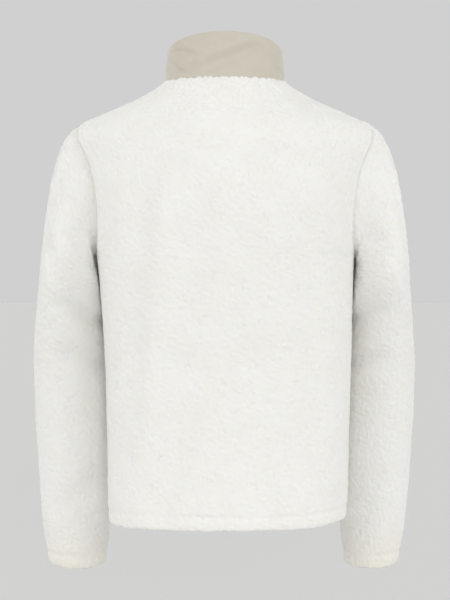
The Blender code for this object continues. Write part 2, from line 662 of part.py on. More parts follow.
def kept_off_body(points, side):
    """Points of a sleeve with those that lie in or near the body's side moved off it.

    How far a point is off the body is its level distance from the body's section there. The
    push fades in over the first rows under the arm, and softly round the clearance itself.
    """
    x, y, z = points[..., 0] * side, points[..., 1], points[..., 2]
    depth = np.where(y >= 0, column(BODY, "back", z), column(BODY, "front", z))
    power = column(BODY, "squareness", z)
    width = column(BODY, "half_width", z)
    aside = np.abs(x - column(BODY, "sway", z)) / width
    share = (aside**power + (np.abs(y) / depth) ** power) ** (1 / power)
    off = np.hypot(x, y) * (1 - 1 / share)
    below = ease_in_out((UNDERARM_HEIGHT - z) / CLEARANCE_START)
    below = below * ease_in_out(np.arange(len(points))[:, None] / EASE_ROWS)
    short = SLEEVE_CLEARANCE - off
    push = below * (short + np.sqrt(short**2 + CLEARANCE_SOFTNESS**2)) / 2
    out_x = aside ** (power - 1) / width
    out_y = np.sign(y) * (np.abs(y) / depth) ** (power - 1) / depth
    out = np.stack([out_x, out_y, np.zeros_like(x)], axis=-1)
    return points + unit(out) * push[..., None]


def ring_normals(rings):
    """Outward normals of a stack of closed rings, from neighbouring points."""
    around = np.roll(rings, -1, axis=1) - np.roll(rings, 1, axis=1)
    down = np.gradient(rings, axis=0)
    return unit(np.cross(down, around))


# ---------------------------------------------------------------- solids
def material(name, colour, roughness, metallic=0.0):
    made = bpy.data.materials.new(name)
    made.use_nodes = True
    shader = made.node_tree.nodes["Principled BSDF"]
    shader.inputs["Base Color"].default_value = (*colour, 1.0)
    shader.inputs["Roughness"].default_value = roughness
    shader.inputs["Metallic"].default_value = metallic
    made.diffuse_color = (*colour, 1.0)
    return made


def add_object(name, vertices, faces, finish, smooth_angle=40):
    mesh = bpy.data.meshes.new(name)
    mesh.from_pydata([tuple(map(float, v)) for v in vertices], [], faces)
    mesh.update()
    mesh.materials.append(finish)
    mesh.shade_smooth()
    mesh.set_sharp_from_angle(angle=math.radians(smooth_angle))
    made = bpy.data.objects.new(name, mesh)
    bpy.context.scene.collection.objects.link(made)
    return made


def wall(name, outer, inner, finish, closed=False):
    """Closed solid between two grids of points, whose columns meet again if it is closed."""
    rows, columns = outer.shape[:2]
    vertices = np.concatenate([outer.reshape(-1, 3), inner.reshape(-1, 3)])

    def at(row, col, layer=0):
        return layer * rows * columns + row * columns + col % columns

    faces = []
    spans = columns if closed else columns - 1
    last, end = rows - 1, columns - 1
    for r in range(last):
        for c in range(spans):
            faces.append((at(r, c), at(r, c + 1), at(r + 1, c + 1), at(r + 1, c)))
            faces.append((at(r, c, 1), at(r + 1, c, 1), at(r + 1, c + 1, 1), at(r, c + 1, 1)))
    for c in range(spans):
        faces.append((at(0, c), at(0, c, 1), at(0, c + 1, 1), at(0, c + 1)))
        faces.append((at(last, c), at(last, c + 1), at(last, c + 1, 1), at(last, c, 1)))
    if not closed:
        for r in range(last):
            faces.append((at(r, 0), at(r + 1, 0), at(r + 1, 0, 1), at(r, 0, 1)))
            faces.append((at(r, end), at(r, end, 1), at(r + 1, end, 1), at(r + 1, end)))
    return add_object(name, vertices, faces, finish)


def make_back(finish):
    angles, heights = back_half()
    angles = np.concatenate([angles, math.pi - angles[:, -2::-1]], axis=1)
    heights = np.concatenate([heights, heights[:, -2::-1]], axis=1)
    outer, inner = panel_walls(angles, heights)
    inner[-1] = outer[-1] + neck_seam(neck_turns(0))[1] * SHERPA_THICKNESS
    fit_to_armhole(outer, inner, 0, 1, "back")
    fit_to_armhole(outer, inner, -1, -1, "back")
    for edge in ("first", "last", "high"):
        outer, inner = drawn_back(outer, edge), drawn_back(inner, edge)
    return wall("back", outer, inner, finish)


def front_panel(side):
    """Angles and heights of the left (1) or right (-1) front, seen from outside."""
    angles, heights = front_half()
    if side > 0:
        return angles[:, ::-1], heights[:, ::-1]
    return math.pi - angles, heights


def make_front(side, finish):
    """The left (1) or right (-1) front, from the zip's opening to the side seam."""
    outer, inner = panel_walls(*front_panel(side))
    inner[-1] = outer[-1] + neck_seam(neck_turns(side))[1] * SHERPA_THICKNESS
    fit_to_armhole(outer, inner, -1 if side > 0 else 0, side, "front")
    for edge in ("last" if side > 0 else "first", "high"):
        outer, inner = drawn_back(outer, edge), drawn_back(inner, edge)
    return wall("front_left" if side > 0 else "front_right", outer, inner, finish)


def make_sleeve(side, finish):
    outer, onward, into_face = sleeve_grid(side)
    thickness = np.full(len(outer), SHERPA_THICKNESS)
    thickness[-4:] += HEM_EXTRA
    inner = outer - ring_normals(outer) * thickness[:, None, None]
    outer[0] = outer[0] + onward * SEAM_GAP / 2
    inner[0] = outer[0] + into_face * SHERPA_THICKNESS
    if side < 0:
        outer, inner = mirrored(outer)[:, ::-1], mirrored(inner)[:, ::-1]
    outer, inner = outer[::-1], inner[::-1]
    return wall("sleeve_left" if side > 0 else "sleeve_right", outer, inner, finish, closed=True)


def collar_turns():
    return np.concatenate([neck_turns(1), neck_turns(0)[1:], neck_turns(-1)[1:]])


def make_collar(finish):
    turns = collar_turns()
    rises = np.linspace(0, 1, COLLAR_ROWS + 1)[:, None]
    outer = collar(turns[None, :], rises)
    normals = collar_normal(*np.broadcast_arrays(turns[None, :], rises))
    inner = outer - normals * COLLAR_THICKNESS
    inner[0] = outer[0] + neck_seam(turns)[1] * COLLAR_THICKNESS
    outer[-1] = outer[-1] - normals[-1] * COLLAR_EDGE_ROLL
    inner[-1] = inner[-1] + normals[-1] * COLLAR_EDGE_ROLL
    outer, inner = drawn_back(outer, "low"), drawn_back(inner, "low")
    return wall("collar", outer, inner, finish)


# ---------------------------------------------------------------- the zip
def front_row_heights():
    neck_end = -math.acos(ZIP_OPENING / NECK_HALF_WIDTH)
    return row_heights(FRONT_SHOULDER_ROW, float(neckline(neck_end)[1]))


@functools.cache
def front_rows(x):
    """Rows of points and outward normals up the closed front, at a distance from its middle.

    They stand in the rows of the front panels and then of the collar, so that what is laid
    along them is level with the facets of those pieces.
    """
    heights = front_row_heights()[:-1]
    angles = np.arccos(x / column(BODY, "half_width", heights))
    turn = -np.arccos(np.array([x]) / NECK_HALF_WIDTH)
    rises = np.linspace(0, 1, COLLAR_ROWS + 1)[1:]
    points = [body(-angles, heights), body(*neckline(turn)), collar(turn, rises)]
    normals = [body_normal(-angles, heights), -neck_seam(turn)[1], collar_normal(turn, rises)]
    return np.concatenate(points), np.concatenate(normals)


def front_point(x, level, depth):
    """Point below the closed front's surface, at a row number that may lie between two rows."""
    points, normals = front_rows(x)
    rows = np.arange(len(points))
    buried = points - normals * depth
    return np.array([np.interp(level, rows, buried[:, axis]) for axis in range(3)])


def level_above_hem(distance):
    heights = front_row_heights()
    return np.interp(HEM_HEIGHT + distance, heights, np.arange(len(heights)))


def level_in_collar(rise):
    return len(front_row_heights()) - 1 + rise * COLLAR_ROWS


def tape_depth(level):
    """Depth of the tape's outer face: just behind the body's cloth, then behind the collar's."""
    seam = level_in_collar(0)
    thins = [seam, seam + TAPE_RISE_ROWS]
    cloth = np.interp(level, thins, [SHERPA_THICKNESS, COLLAR_THICKNESS])
    return cloth + CLEARANCE


def make_zip_side(side, finish):
    """One tape with its half of the chain, from the retainer box to the slider.

    The tape is cut back beside the box and the slider's post, where it carries no chain.
    """
    chain_low = level_above_hem(BOX_HIGH + CLEARANCE)
    chain_high = level_in_collar(SLIDER_RISE)
    step = CHAIN_END_STEP
    whole = np.arange(math.ceil(chain_low + step), math.floor(chain_high) + 1)
    beside_box, beside_post = BOX_HALF_WIDTH + CLEARANCE, POST_HALF_WIDTH + CLEARANCE
    bare_low = [(level_above_hem(TAPE_LOW), beside_box), (chain_low, beside_box)]
    chained = [(level, CHAIN_HALF_GAP) for level in (chain_low + step, *whole, chain_high)]
    bare_high = [(chain_high + step, beside_post), (level_in_collar(TAPE_RISE), beside_post)]
    outer, inner = [], []
    for level, edge in bare_low + chained + bare_high:
        face = tape_depth(level)
        front = face - CHAIN_HEIGHT if edge == CHAIN_HALF_GAP else face
        lines = [
            (edge, front),
            (edge + CHAIN_WIDTH, front),
            (edge + CHAIN_WIDTH + CLEARANCE, face),
            (TAPE_EDGE, face),
        ]
        lines = lines[::side]
        outer.append([front_point(side * x, level, depth) for x, depth in lines])
        back = face + TAPE_THICKNESS
        inner.append([front_point(side * x, level, back) for x, _ in lines])
    name = "zip_side_left" if side > 0 else "zip_side_right"
    return wall(name, np.array(outer), np.array(inner), finish)


def front_frame(level):
    """A place on the front's middle line, and the ways across, up and out of it."""
    origin = front_point(0.0, level, 0.0)
    up = unit(front_point(0.0, level + 0.1, 0.0) - front_point(0.0, level - 0.1, 0.0))
    across = np.array([1.0, 0.0, 0.0])
    return origin, across, up, np.cross(across, up)


def fused(name, frame, boxes, finish, pivot=(0.0, 0.0, 0.0)):
    """One solid from boxes that meet or overlap, with its object's origin at the pivot.

    A box has two ends across, two ends upwards, and two ends in depth, which is measured
    inwards from the front's surface. The space is cut into cells along the planes of all the
    boxes, and the solid's faces are those between a cell in a box and a cell in none.
    """
    origin, across, up, out = frame
    cuts = [sorted({end for box in boxes for end in box[axis]}) for axis in range(3)]
    filled = np.zeros([len(cut) + 1 for cut in cuts], bool)
    for box in boxes:
        ends = [(cut.index(low), cut.index(high)) for cut, (low, high) in zip(cuts, box)]
        filled[tuple(slice(low + 1, high + 1) for low, high in ends)] = True
    numbers, faces = {}, []
    for cell in np.argwhere(filled):
        for axis, way in itertools.product(range(3), (0, 1)):
            beside = cell.copy()
            beside[axis] += 2 * way - 1
            if filled[tuple(beside)]:
                continue
            loop = []
            for first, second in ((0, 0), (1, 0), (1, 1), (0, 1)):
                corner = cell - 1
                corner[axis] += way
                corner[(axis + 1) % 3] += first
                corner[(axis + 2) % 3] += second
                loop.append(numbers.setdefault(tuple(corner), len(numbers)))
            faces.append(loop if way == 0 else loop[::-1])
    places = [[cut[i] for cut, i in zip(cuts, corner)] for corner in numbers]
    vertices = [origin + across * x + up * v - out * d - np.array(pivot) for x, v, d in places]
    whole = add_object(name, vertices, faces, finish)
    whole.location = pivot
    return whole


def make_retainer_box(finish):
    frame = front_frame(level_above_hem((BOX_LOW + BOX_HIGH) / 2))
    half_length = (BOX_HIGH - BOX_LOW) / 2
    across = (-BOX_HALF_WIDTH, BOX_HALF_WIDTH)
    box = (across, (-half_length, half_length), (BOX_FRONT, BOX_BACK))
    return fused("zip_retainer_box", frame, [box], finish)


def slider_frame():
    return front_frame(level_in_collar(SLIDER_RISE))


def slider_depths():
    """Depth of the slider's front plate (its outer face and its inner one) and of its back plate."""
    face = tape_depth(level_in_collar(SLIDER_RISE))
    front_inner = face - CHAIN_HEIGHT - CLEARANCE
    back_outer = face + TAPE_THICKNESS + CLEARANCE
    return front_inner - SLIDER_PLATE, front_inner, back_outer, back_outer + SLIDER_PLATE


def make_slider(finish):
    """Two plates, the post between them, and the arch on the front plate that holds the tab."""
    outermost, front_inner, back_outer, innermost = slider_depths()
    plate = (-SLIDER_HALF_WIDTH, SLIDER_HALF_WIDTH)
    post = (-POST_HALF_WIDTH, POST_HALF_WIDTH)
    arch = (-ARCH_HALF_WIDTH, ARCH_HALF_WIDTH)
    length = (-SLIDER_HALF_LENGTH, SLIDER_HALF_LENGTH)
    sunk = SLIDER_PLATE / 4
    hollow_low, hollow_high = HINGE_RISE - ARCH_HOLLOW / 2, HINGE_RISE + ARCH_HOLLOW / 2
    arch_front = outermost - ARCH_HOLLOW - ARCH_METAL
    leg_depth = (arch_front, outermost + sunk)
    boxes = [
        (plate, length, (outermost, front_inner)),
        (plate, length, (back_outer, innermost)),
        (
            post,
            (SLIDER_HALF_LENGTH - sunk - POST_LENGTH, SLIDER_HALF_LENGTH - sunk),
            (front_inner - sunk, back_outer + sunk),
        ),
        (arch, (hollow_low - ARCH_METAL, hollow_low), leg_depth),
        (arch, (hollow_high, hollow_high + ARCH_METAL), leg_depth),
        (arch, (hollow_low - sunk, hollow_high + sunk), (arch_front, arch_front + ARCH_METAL)),
    ]
    return fused("zip_slider", slider_frame(), boxes, finish)


def hinge_place():
    """Middle of the pull tab's axis, inside the arch's hollow."""
    origin, _, up, out = slider_frame()
    return origin + up * HINGE_RISE - out * (slider_depths()[0] - ARCH_HOLLOW / 2)


def make_pull(finish):
    """The pull tab, hanging down, with a window near its top; its top bar is in the arch."""
    axis_depth = slider_depths()[0] - ARCH_HOLLOW / 2
    depth = (axis_depth - TAB_THICKNESS / 2, axis_depth + TAB_THICKNESS / 2)
    top = HINGE_RISE + TAB_THICKNESS / 2
    bar_low = HINGE_RISE - TAB_THICKNESS / 2
    window_low = bar_low - WINDOW_LENGTH
    low = top - TAB_LENGTH
    wide = (-TAB_HALF_WIDTH, TAB_HALF_WIDTH)
    boxes = [
        (wide, (bar_low, top), depth),
        (wide, (low, window_low), depth),
        ((-TAB_HALF_WIDTH, -WINDOW_HALF_WIDTH), (low, top), depth),
        ((WINDOW_HALF_WIDTH, TAB_HALF_WIDTH), (low, top), depth),
    ]
    pivot = tuple(float(value) for value in hinge_place())
    return fused("zip_pull", slider_frame(), boxes, finish, pivot)


# ---------------------------------------------------------------- the jacket
def build():
    for old in list(bpy.data.objects):
        bpy.data.objects.remove(old)
    sherpa = material("sherpa", (0.83, 0.81, 0.76), 0.95)
    shell = material("collar_shell", (0.56, 0.52, 0.44), 0.7)
    tape = material("zip_tape", (0.50, 0.46, 0.39), 0.8)
    metal = material("zip_metal", (0.42, 0.385, 0.32), 0.45)
    make_back(sherpa)
    for side in (1, -1):
        make_front(side, sherpa)
        make_sleeve(side, sherpa)
        make_zip_side(side, tape)
    make_collar(shell)
    make_retainer_box(metal)
    make_slider(metal)
    make_pull(metal)


build()
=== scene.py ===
"""The looks of a sherpa jacket: curly off-white pile, a smooth taupe stand collar and a front zip.

Every cloth piece is a surface worked out from the jacket's own sizes, the same ones that its
solids have, and drawn finely enough to carry the curls of the pile.
"""

import itertools
import math

import bpy
import numpy as np
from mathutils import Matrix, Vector


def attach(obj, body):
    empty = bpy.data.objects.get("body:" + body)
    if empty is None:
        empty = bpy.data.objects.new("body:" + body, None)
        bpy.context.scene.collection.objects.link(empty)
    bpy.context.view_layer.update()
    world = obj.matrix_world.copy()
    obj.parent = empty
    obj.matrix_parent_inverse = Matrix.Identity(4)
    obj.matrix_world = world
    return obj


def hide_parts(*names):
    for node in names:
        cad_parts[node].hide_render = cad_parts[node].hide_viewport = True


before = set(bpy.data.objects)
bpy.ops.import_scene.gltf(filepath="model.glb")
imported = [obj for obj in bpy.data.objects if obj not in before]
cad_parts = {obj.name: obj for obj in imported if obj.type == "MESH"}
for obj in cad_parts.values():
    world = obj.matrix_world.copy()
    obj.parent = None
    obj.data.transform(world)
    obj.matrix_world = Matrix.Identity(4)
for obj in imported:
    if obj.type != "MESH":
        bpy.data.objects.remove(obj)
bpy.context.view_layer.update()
scene = bpy.context.scene


# ------------------------------------------------------------------ the camera
# The picture is taken level, from behind, at the height of the jacket's middle. The distance
# gives the bulge that the hem and the collar's edge have in it.
CAMERA_DISTANCE = 2.60
CAMERA_HEIGHT = -0.333
SENSOR_HEIGHT = 36.0                # millimetres
IMAGE_HEIGHT = 600                  # pixels
FOCAL_PIXELS = 1694                 # focal length in pixels: 1.535 mm a pixel at the jacket


def shown(name, data, towards=None):
    """An object of its data, in the scene at the origin, with its back to a direction if any."""
    made = bpy.data.objects.new(name, data)
    scene.collection.objects.link(made)
    if towards is not None:
        made.rotation_euler = Vector(towards).to_track_quat("Z", "Y").to_euler()
    return made


camera = bpy.data.cameras.new("camera")
camera.sensor_fit = "VERTICAL"
camera.sensor_height = SENSOR_HEIGHT
camera.lens = SENSOR_HEIGHT * FOCAL_PIXELS / IMAGE_HEIGHT
scene.camera = shown("camera", camera, towards=(0.0, 1.0, 0.0))
scene.camera.location = (0.0, CAMERA_DISTANCE, CAMERA_HEIGHT)


# ------------------------------------------------------------------ the floor and the light
# A plain pale floor well below the cuffs, as the jacket is held up by its neck. The light is an
# even pale sky with broad soft lamps, three behind the jacket and two weaker ones before it, so
# that the white pile shows hardly any shade.
FLOOR_HEIGHT = -1.05
FLOOR_HALF_SIZE = 400.0
FLOOR_CORNERS = ((-1, -1), (1, -1), (1, 1), (-1, 1))
FLOOR_COLOUR = (0.746, 0.746, 0.744)
SKY = (0.63, 0.63, 0.63)
LAMPS = (                           # name, side it shines from, strength, colour, degrees broad
    ("key", (-1.0, 0.62, 0.15), 1.00, (1.0, 0.995, 0.98), 60),
    ("fill", (-0.07, 1.0, 0.05), 0.92, (1.0, 0.995, 0.98), 24),
    ("left", (1.0, 0.62, 0.08), 1.08, (1.0, 0.99, 0.97), 60),
    ("front_left", (0.75, -1.0, 0.30), 0.60, (1.0, 0.995, 0.985), 60),
    ("front_right", (-0.60, -1.0, 0.40), 0.50, (1.0, 0.995, 0.985), 60),
)


def mesh_of(name, points, faces, finishes, slots=(), **attributes):
    """An object from points and faces (arrays of equal-sided faces), with its finishes.

    Slots are the finish of the first arrays of faces, the others have the first one, and
    attributes are numbers on the points.
    """
    sizes = np.concatenate([np.full(len(group), group.shape[1]) for group in faces])
    corners = np.concatenate([group.ravel() for group in faces]).astype(np.int32)
    mesh = bpy.data.meshes.new(name)
    mesh.vertices.add(len(points))
    mesh.vertices.foreach_set("co", np.asarray(points, np.float32).ravel())
    mesh.loops.add(len(corners))
    mesh.loops.foreach_set("vertex_index", corners)
    mesh.polygons.add(len(sizes))
    mesh.polygons.foreach_set("loop_start", (np.cumsum(sizes) - sizes).astype(np.int32))
    for finish in finishes:
        mesh.materials.append(finish)
    pairs = itertools.zip_longest(faces, slots, fillvalue=0)
    chosen = np.concatenate([np.full(len(group), slot, np.int32) for group, slot in pairs])
    mesh.polygons.foreach_set("material_index", chosen)
    mesh.update(calc_edges=True)
    mesh.validate()
    mesh.shade_smooth()
    for label, values in attributes.items():
        layer = mesh.attributes.new(label, "FLOAT", "POINT")
        layer.data.foreach_set("value", np.asarray(values, np.float32).ravel())
    return shown(name, mesh)


def finish_of(name, colour, roughness, **sockets):
    """A Principled material, its nodes and its shader, with its constants on the sockets."""
    made = bpy.data.materials.new(name)
    made.use_nodes = True
    made.diffuse_color = (*colour, 1.0)
    shader = made.node_tree.nodes["Principled BSDF"]
    shader.inputs["Base Color"].default_value = (*colour, 1.0)
    shader.inputs["Roughness"].default_value = roughness
    for socket, value in sockets.items():
        shader.inputs[socket.replace("_", " ")].default_value = value
    return made, made.node_tree, shader


scene.view_settings.view_transform = "Standard"
scene.view_settings.look = "None"
scene.view_settings.exposure = 0.0
scene.world = bpy.data.worlds.new("studio")
scene.world.use_nodes = True
scene.world.node_tree.nodes["Background"].inputs["Color"].default_value = (*SKY, 1.0)

floor_corners = [(x * FLOOR_HALF_SIZE, y * FLOOR_HALF_SIZE, FLOOR_HEIGHT) for x, y in FLOOR_CORNERS]
floor_paint = finish_of("floor_paint", FLOOR_COLOUR, 1.0, Specular_IOR_Level=0.0)[0]
floor = mesh_of("floor", floor_corners, [np.arange(4)[None]], (floor_paint,))

for name, towards, strength, colour, breadth in LAMPS:
    lamp = bpy.data.lights.new(name, "SUN")
    lamp.energy, lamp.color, lamp.angle = strength, colour, math.radians(breadth)
    shown(name, lamp, towards)


# ------------------------------------------------------------------ the shape of the body
# The jacket hangs as it does on its wearer, full round the chest and straight to the hem. Its
# level sections and its seams are set here, by the sizes that its solids are built from.
SHERPA_THICKNESS = 0.005            # knitted back and curly pile together
HEM_HEIGHT = -0.6735                # the jacket's lower edge
HEM_FOLD = 0.021                    # depth of the turned hem, up to its stitch line
HEM_EXTRA = 0.0020                  # how much the turned layer adds on the inside
STITCH_DEPTH = 0.0016               # how deep a stitch line draws the pile in
EDGE_ROLL = 0.0022                  # how far a folded edge rolls inwards
EDGE_BREADTH = 0.004                # how far both of these reach
NECK_HALF_WIDTH = 0.091
NECK_BACK = 0.072
NECK_FRONT = 0.085
NECK_LOWEST = -0.09                 # below the lowest point of the neckline
SHOULDER_HEIGHT = -0.064            # where the shoulder seam meets the sleeve
UNDERARM_HEIGHT = -0.268
ARMHOLE_BACK = 0.050                # how far the armhole reaches behind the side seam
ARMHOLE_FRONT = 0.060               # and in front of it
UNDERARM_CREASE = math.radians(88)
ZIP_OPENING = 0.0075                # from the centre line to each front edge
LIFT_TOP = -0.45                    # the height where the hem's lift begins, and its fade below
LIFT_FADE = 0.2
FOLD_ENDS = 2.2                     # how far a fold fades past its ends, in its half breadths
FOLDS_BEGIN = 0.15                  # the sine of the angle off the side seam where folds begin,
FOLDS_GROW = 0.25                   # and how much more of it they take to come in
CREASE_POWER = 1.25                 # how late the crease round an armhole grows


def table(columns, rows):
    """Rows of numbers as one array for each named column."""
    return dict(zip(columns.split(), np.array(rows, float).T))


def folds_of(rows, radius=None, height=1.0):
    """Soft folds, a row each: from a place across and up to another, half its breadth, its depth.

    A fold is a straight trough, or a ridge where its depth is below zero. Where a radius is
    given, its places across are turns in degrees, made lengths at that radius, and its places
    up are shares of a height.
    """
    folds = np.array(rows, float)
    if radius is not None:
        folds[:, (0, 2)] = np.radians(folds[:, (0, 2)]) * radius
    folds[:, (1, 3)] *= height
    return folds


BODY = table("height half_width back front squareness sway", [
    (-0.680, 0.1800, 0.1215, 0.1250, 2.40, -0.0038),
    (-0.640, 0.1830, 0.1200, 0.1240, 2.40, -0.0042),
    (-0.560, 0.1845, 0.1180, 0.1230, 2.40, -0.0048),
    (-0.450, 0.1872, 0.1175, 0.1230, 2.40, -0.0050),
    (-0.330, 0.1925, 0.1230, 0.1270, 2.40, -0.0028),
    (-0.268, 0.1965, 0.1265, 0.1295, 2.38, -0.0008),
    (-0.210, 0.2040, 0.1270, 0.1285, 2.25, 0),
    (-0.168, 0.2145, 0.1240, 0.1240, 2.10, 0),
    (-0.130, 0.2290, 0.1185, 0.1170, 1.90, 0),
    (-0.107, 0.2390, 0.1145, 0.1115, 1.79, 0),
    (-0.091, 0.2440, 0.1110, 0.1055, 1.70, 0),
    (-0.077, 0.2400, 0.1065, 0.0985, 1.62, 0),
    (-0.064, 0.2235, 0.1020, 0.0915, 1.56, 0),
    (-0.051, 0.1935, 0.0970, 0.0835, 1.53, 0),
    (-0.038, 0.1640, 0.0920, 0.0735, 1.57, 0),
    (-0.026, 0.1360, 0.0865, 0.0620, 1.68, 0),
    (-0.014, 0.1140, 0.0800, 0.0480, 1.82, 0),
    (0.000, 0.0910, 0.0720, 0.0330, 2.00, 0),
])
# How far the hem's line is lifted, from the wearer's right side to the left
HEM_LINE = table("across lift", [
    (-0.190, 0.0075), (-0.155, 0.0036), (-0.110, 0.0004), (0.060, 0), (0.190, -0.0008),
])
BACK_FOLDS = folds_of([
    (0.118, -0.175, 0.139, -0.400, 0.020, 0.0048),
    (0.092, -0.205, 0.112, -0.500, 0.017, -0.0030),
    (0.042, -0.225, 0.086, -0.620, 0.026, 0.0058),
    (0.012, -0.360, 0.026, -0.640, 0.022, -0.0028),
    (-0.058, -0.330, -0.082, -0.630, 0.026, 0.0026),
    (-0.112, -0.240, -0.124, -0.520, 0.020, 0.0024),
    (0.150, -0.560, 0.090, -0.655, 0.018, 0.0022),
])
FRONT_FOLDS = folds_of([
    (0.110, -0.190, 0.132, -0.430, 0.020, 0.0044),
    (0.062, -0.300, 0.074, -0.620, 0.024, 0.0036),
    (-0.106, -0.200, -0.128, -0.400, 0.020, 0.0042),
    (-0.060, -0.260, -0.080, -0.600, 0.025, 0.0040),
    (-0.140, -0.480, -0.118, -0.640, 0.018, 0.0024),
    (0.142, -0.470, 0.120, -0.630, 0.018, 0.0022),
])


def cubic(share, start, leaving, end, arriving):
    """The cubic in a share that goes from start to end, leaving and arriving by two ways."""
    return (
        start * (2 * share**3 - 3 * share**2 + 1)
        + leaving * (share**3 - 2 * share**2 + share)
        + end * (3 * share**2 - 2 * share**3)
        + arriving * (share**3 - share**2)
    )


def column(rows, name, at):
    """A table's named column at places along its first, on a curve that overshoots no row.

    Cubic steps, with each row's slope the harmonic mean of its neighbours' slopes.
    """
    places, values = next(iter(rows.values())), rows[name]
    steps = np.diff(places)
    slopes = np.diff(values) / steps
    before, after = slopes[:-1], slopes[1:]
    same_way = before * after > 0
    inner = np.where(same_way, 2 * before * after / np.where(same_way, before + after, 1), 0)
    tangents = np.concatenate([slopes[:1], inner, slopes[-1:]])
    i = np.clip(np.searchsorted(places, at) - 1, 0, len(steps) - 1)
    share = np.clip((at - places[i]) / steps[i], 0, 1)
    return cubic(
        share, values[i], tangents[i] * steps[i], values[i + 1], tangents[i + 1] * steps[i]
    )


def ease_in_out(share):
    """0 below 0, 1 above 1, and three times the square less twice the cube between."""
    share = np.clip(share, 0, 1)
    return share * share * (3 - 2 * share)


def bell(distance, breadth):
    """1 at no distance, and e to the minus square of distance over breadth away from there."""
    return np.exp(-((distance / breadth) ** 2))


def unit(vectors):
    """The same ways, each of length 1."""
    return vectors / np.linalg.norm(vectors, axis=-1, keepdims=True)


def trough(across, up, folds, ends):
    """Depth of the folds at each place: a bell across each fold, which fades out at its ends."""
    total = np.zeros(np.shape(across))
    for x1, z1, x2, z2, breadth, amount in folds:
        length = math.hypot(x2 - x1, z2 - z1)
        along = ((across - x1) * (x2 - x1) + (up - z1) * (z2 - z1)) / length
        aside = ((across - x1) * (z2 - z1) - (up - z1) * (x2 - x1)) / length
        beyond = np.maximum(np.maximum(-along, along - length), 0)
        total = total + amount * bell(beyond, ends * breadth) * bell(aside, breadth)
    return total


def body_depth(behind, height):
    """Half the body's depth at a height, behind its middle or in front of it."""
    return np.where(behind, column(BODY, "back", height), column(BODY, "front", height))


def body_plain(angle, height):
    """Point of the body's outline at an angle round it (0 left side, 90 degrees centre back).

    Each level section is a superellipse, deeper behind or in front by the table's columns.
    """
    angle, height = np.broadcast_arrays(angle, height)
    across, along = np.cos(angle), np.sin(angle)
    power = column(BODY, "squareness", height)
    reach = (np.abs(across) ** power + np.abs(along) ** power) ** (-1 / power)
    x = column(BODY, "half_width", height) * reach * across
    x = x + column(BODY, "sway", height) * across**2
    y = body_depth(along >= 0, height) * reach * along
    lift = column(HEM_LINE, "lift", x) * ease_in_out((LIFT_TOP - height) / LIFT_FADE)
    return np.stack([x, y, height + lift], axis=-1)


def slopes_normal(shape, first, second, step=2e-4):
    """Outward unit normal of a surface, from small steps along its two parameters."""
    along_first = shape(first + step, second) - shape(first - step, second)
    along_second = shape(first, second + step) - shape(first, second - step)
    return unit(np.cross(along_first, along_second))


def edge_dip(above_edge, fold):
    """What a turned edge draws in at heights above it: a bell at its stitches and at its roll."""
    stitches = STITCH_DEPTH * bell(above_edge - fold, EDGE_BREADTH)
    return stitches + EDGE_ROLL * bell(above_edge, EDGE_BREADTH)


def body(angle, height):
    """Point of the body's surface: its outline, less its folds, hem stitches and rolled edge.

    The folds fade out toward the side seams.
    """
    plain = body_plain(angle, height)
    x, z = plain[..., 0], plain[..., 2]
    behind, before = (trough(x, z, folds, FOLD_ENDS) for folds in (BACK_FOLDS, FRONT_FOLDS))
    dip = np.where(np.sin(angle) >= 0, behind, before)
    dip = dip * ease_in_out((np.abs(np.sin(angle)) - FOLDS_BEGIN) / FOLDS_GROW)
    dip = dip + edge_dip(height - HEM_HEIGHT, HEM_FOLD)
    return plain - dip[..., None] * slopes_normal(body_plain, angle, height)


def body_normal(angle, height):
    """Outward unit normal of the body's surface."""
    return slopes_normal(body, angle, height)


# Rows of the panels, counted as their pattern is divided: from the hem's edge (0) past its
# stitches (3) to the underarm (14), up the armhole to the shoulder (24), and to the neck (29).
# The pile is drawn between them on rows about 2 mm apart, and begins to roll under the hem at
# half a level.
UNDERARM_LEVEL = 14
SHOULDER_LEVEL = 24
NECK_LEVEL = 29
ARMHOLE_SPAN = SHOULDER_LEVEL - UNDERARM_LEVEL
BACK_SHOULDER_ROW = -0.062
FRONT_SHOULDER_ROW = -0.108
HALF_PANEL_COLUMNS = 120


def levels_of(spans):
    """Row numbers with each span (from, to, steps) evenly divided, joined end to end."""
    parts = [np.linspace(low, high, steps + 1)[1:] for low, high, steps in spans]
    return np.concatenate([[spans[0][0]], *parts])


def edge_marks(fold):
    """Heights above a turned edge of its pattern's rows: the edge, its roll and its stitches."""
    return np.array([0.0, 0.005, fold - 0.006, fold, fold + 0.006])


LEVELS = levels_of(
    [(0.5, 1, 1), (1, 2, 5), (2, 4, 6), (4, UNDERARM_LEVEL, 170),
     (UNDERARM_LEVEL, SHOULDER_LEVEL, 100), (SHOULDER_LEVEL, NECK_LEVEL, 60)]
)
SIDE_LEVELS = [0, 1, 2, 3, 4, UNDERARM_LEVEL]
SIDE_HEIGHTS = [*(HEM_HEIGHT + edge_marks(HEM_FOLD)), UNDERARM_HEIGHT]


def centre_heights(shoulder_row, neck_row):
    """Heights of the rows on a panel's centre edge, straight between the pattern's marks."""
    marks = [*SIDE_LEVELS, SHOULDER_LEVEL, NECK_LEVEL]
    return np.interp(LEVELS, marks, [*SIDE_HEIGHTS, shoulder_row, neck_row])


def armhole(turn, reach):
    """Angle and height of the armhole seam, a leaning oval on the body's left side.

    Its angle is where the body's section comes so far behind (or before) the side seam.
    """
    middle, half = (SHOULDER_HEIGHT + UNDERARM_HEIGHT) / 2, (SHOULDER_HEIGHT - UNDERARM_HEIGHT) / 2
    height = middle + half * np.cos(turn)
    depth = reach * np.abs(np.sin(turn))
    power = column(BODY, "squareness", height)
    share = np.abs(depth) / body_depth(depth >= 0, height)
    return np.arctan2(np.sign(depth) * share, (1 - share**power) ** (1 / power)), height


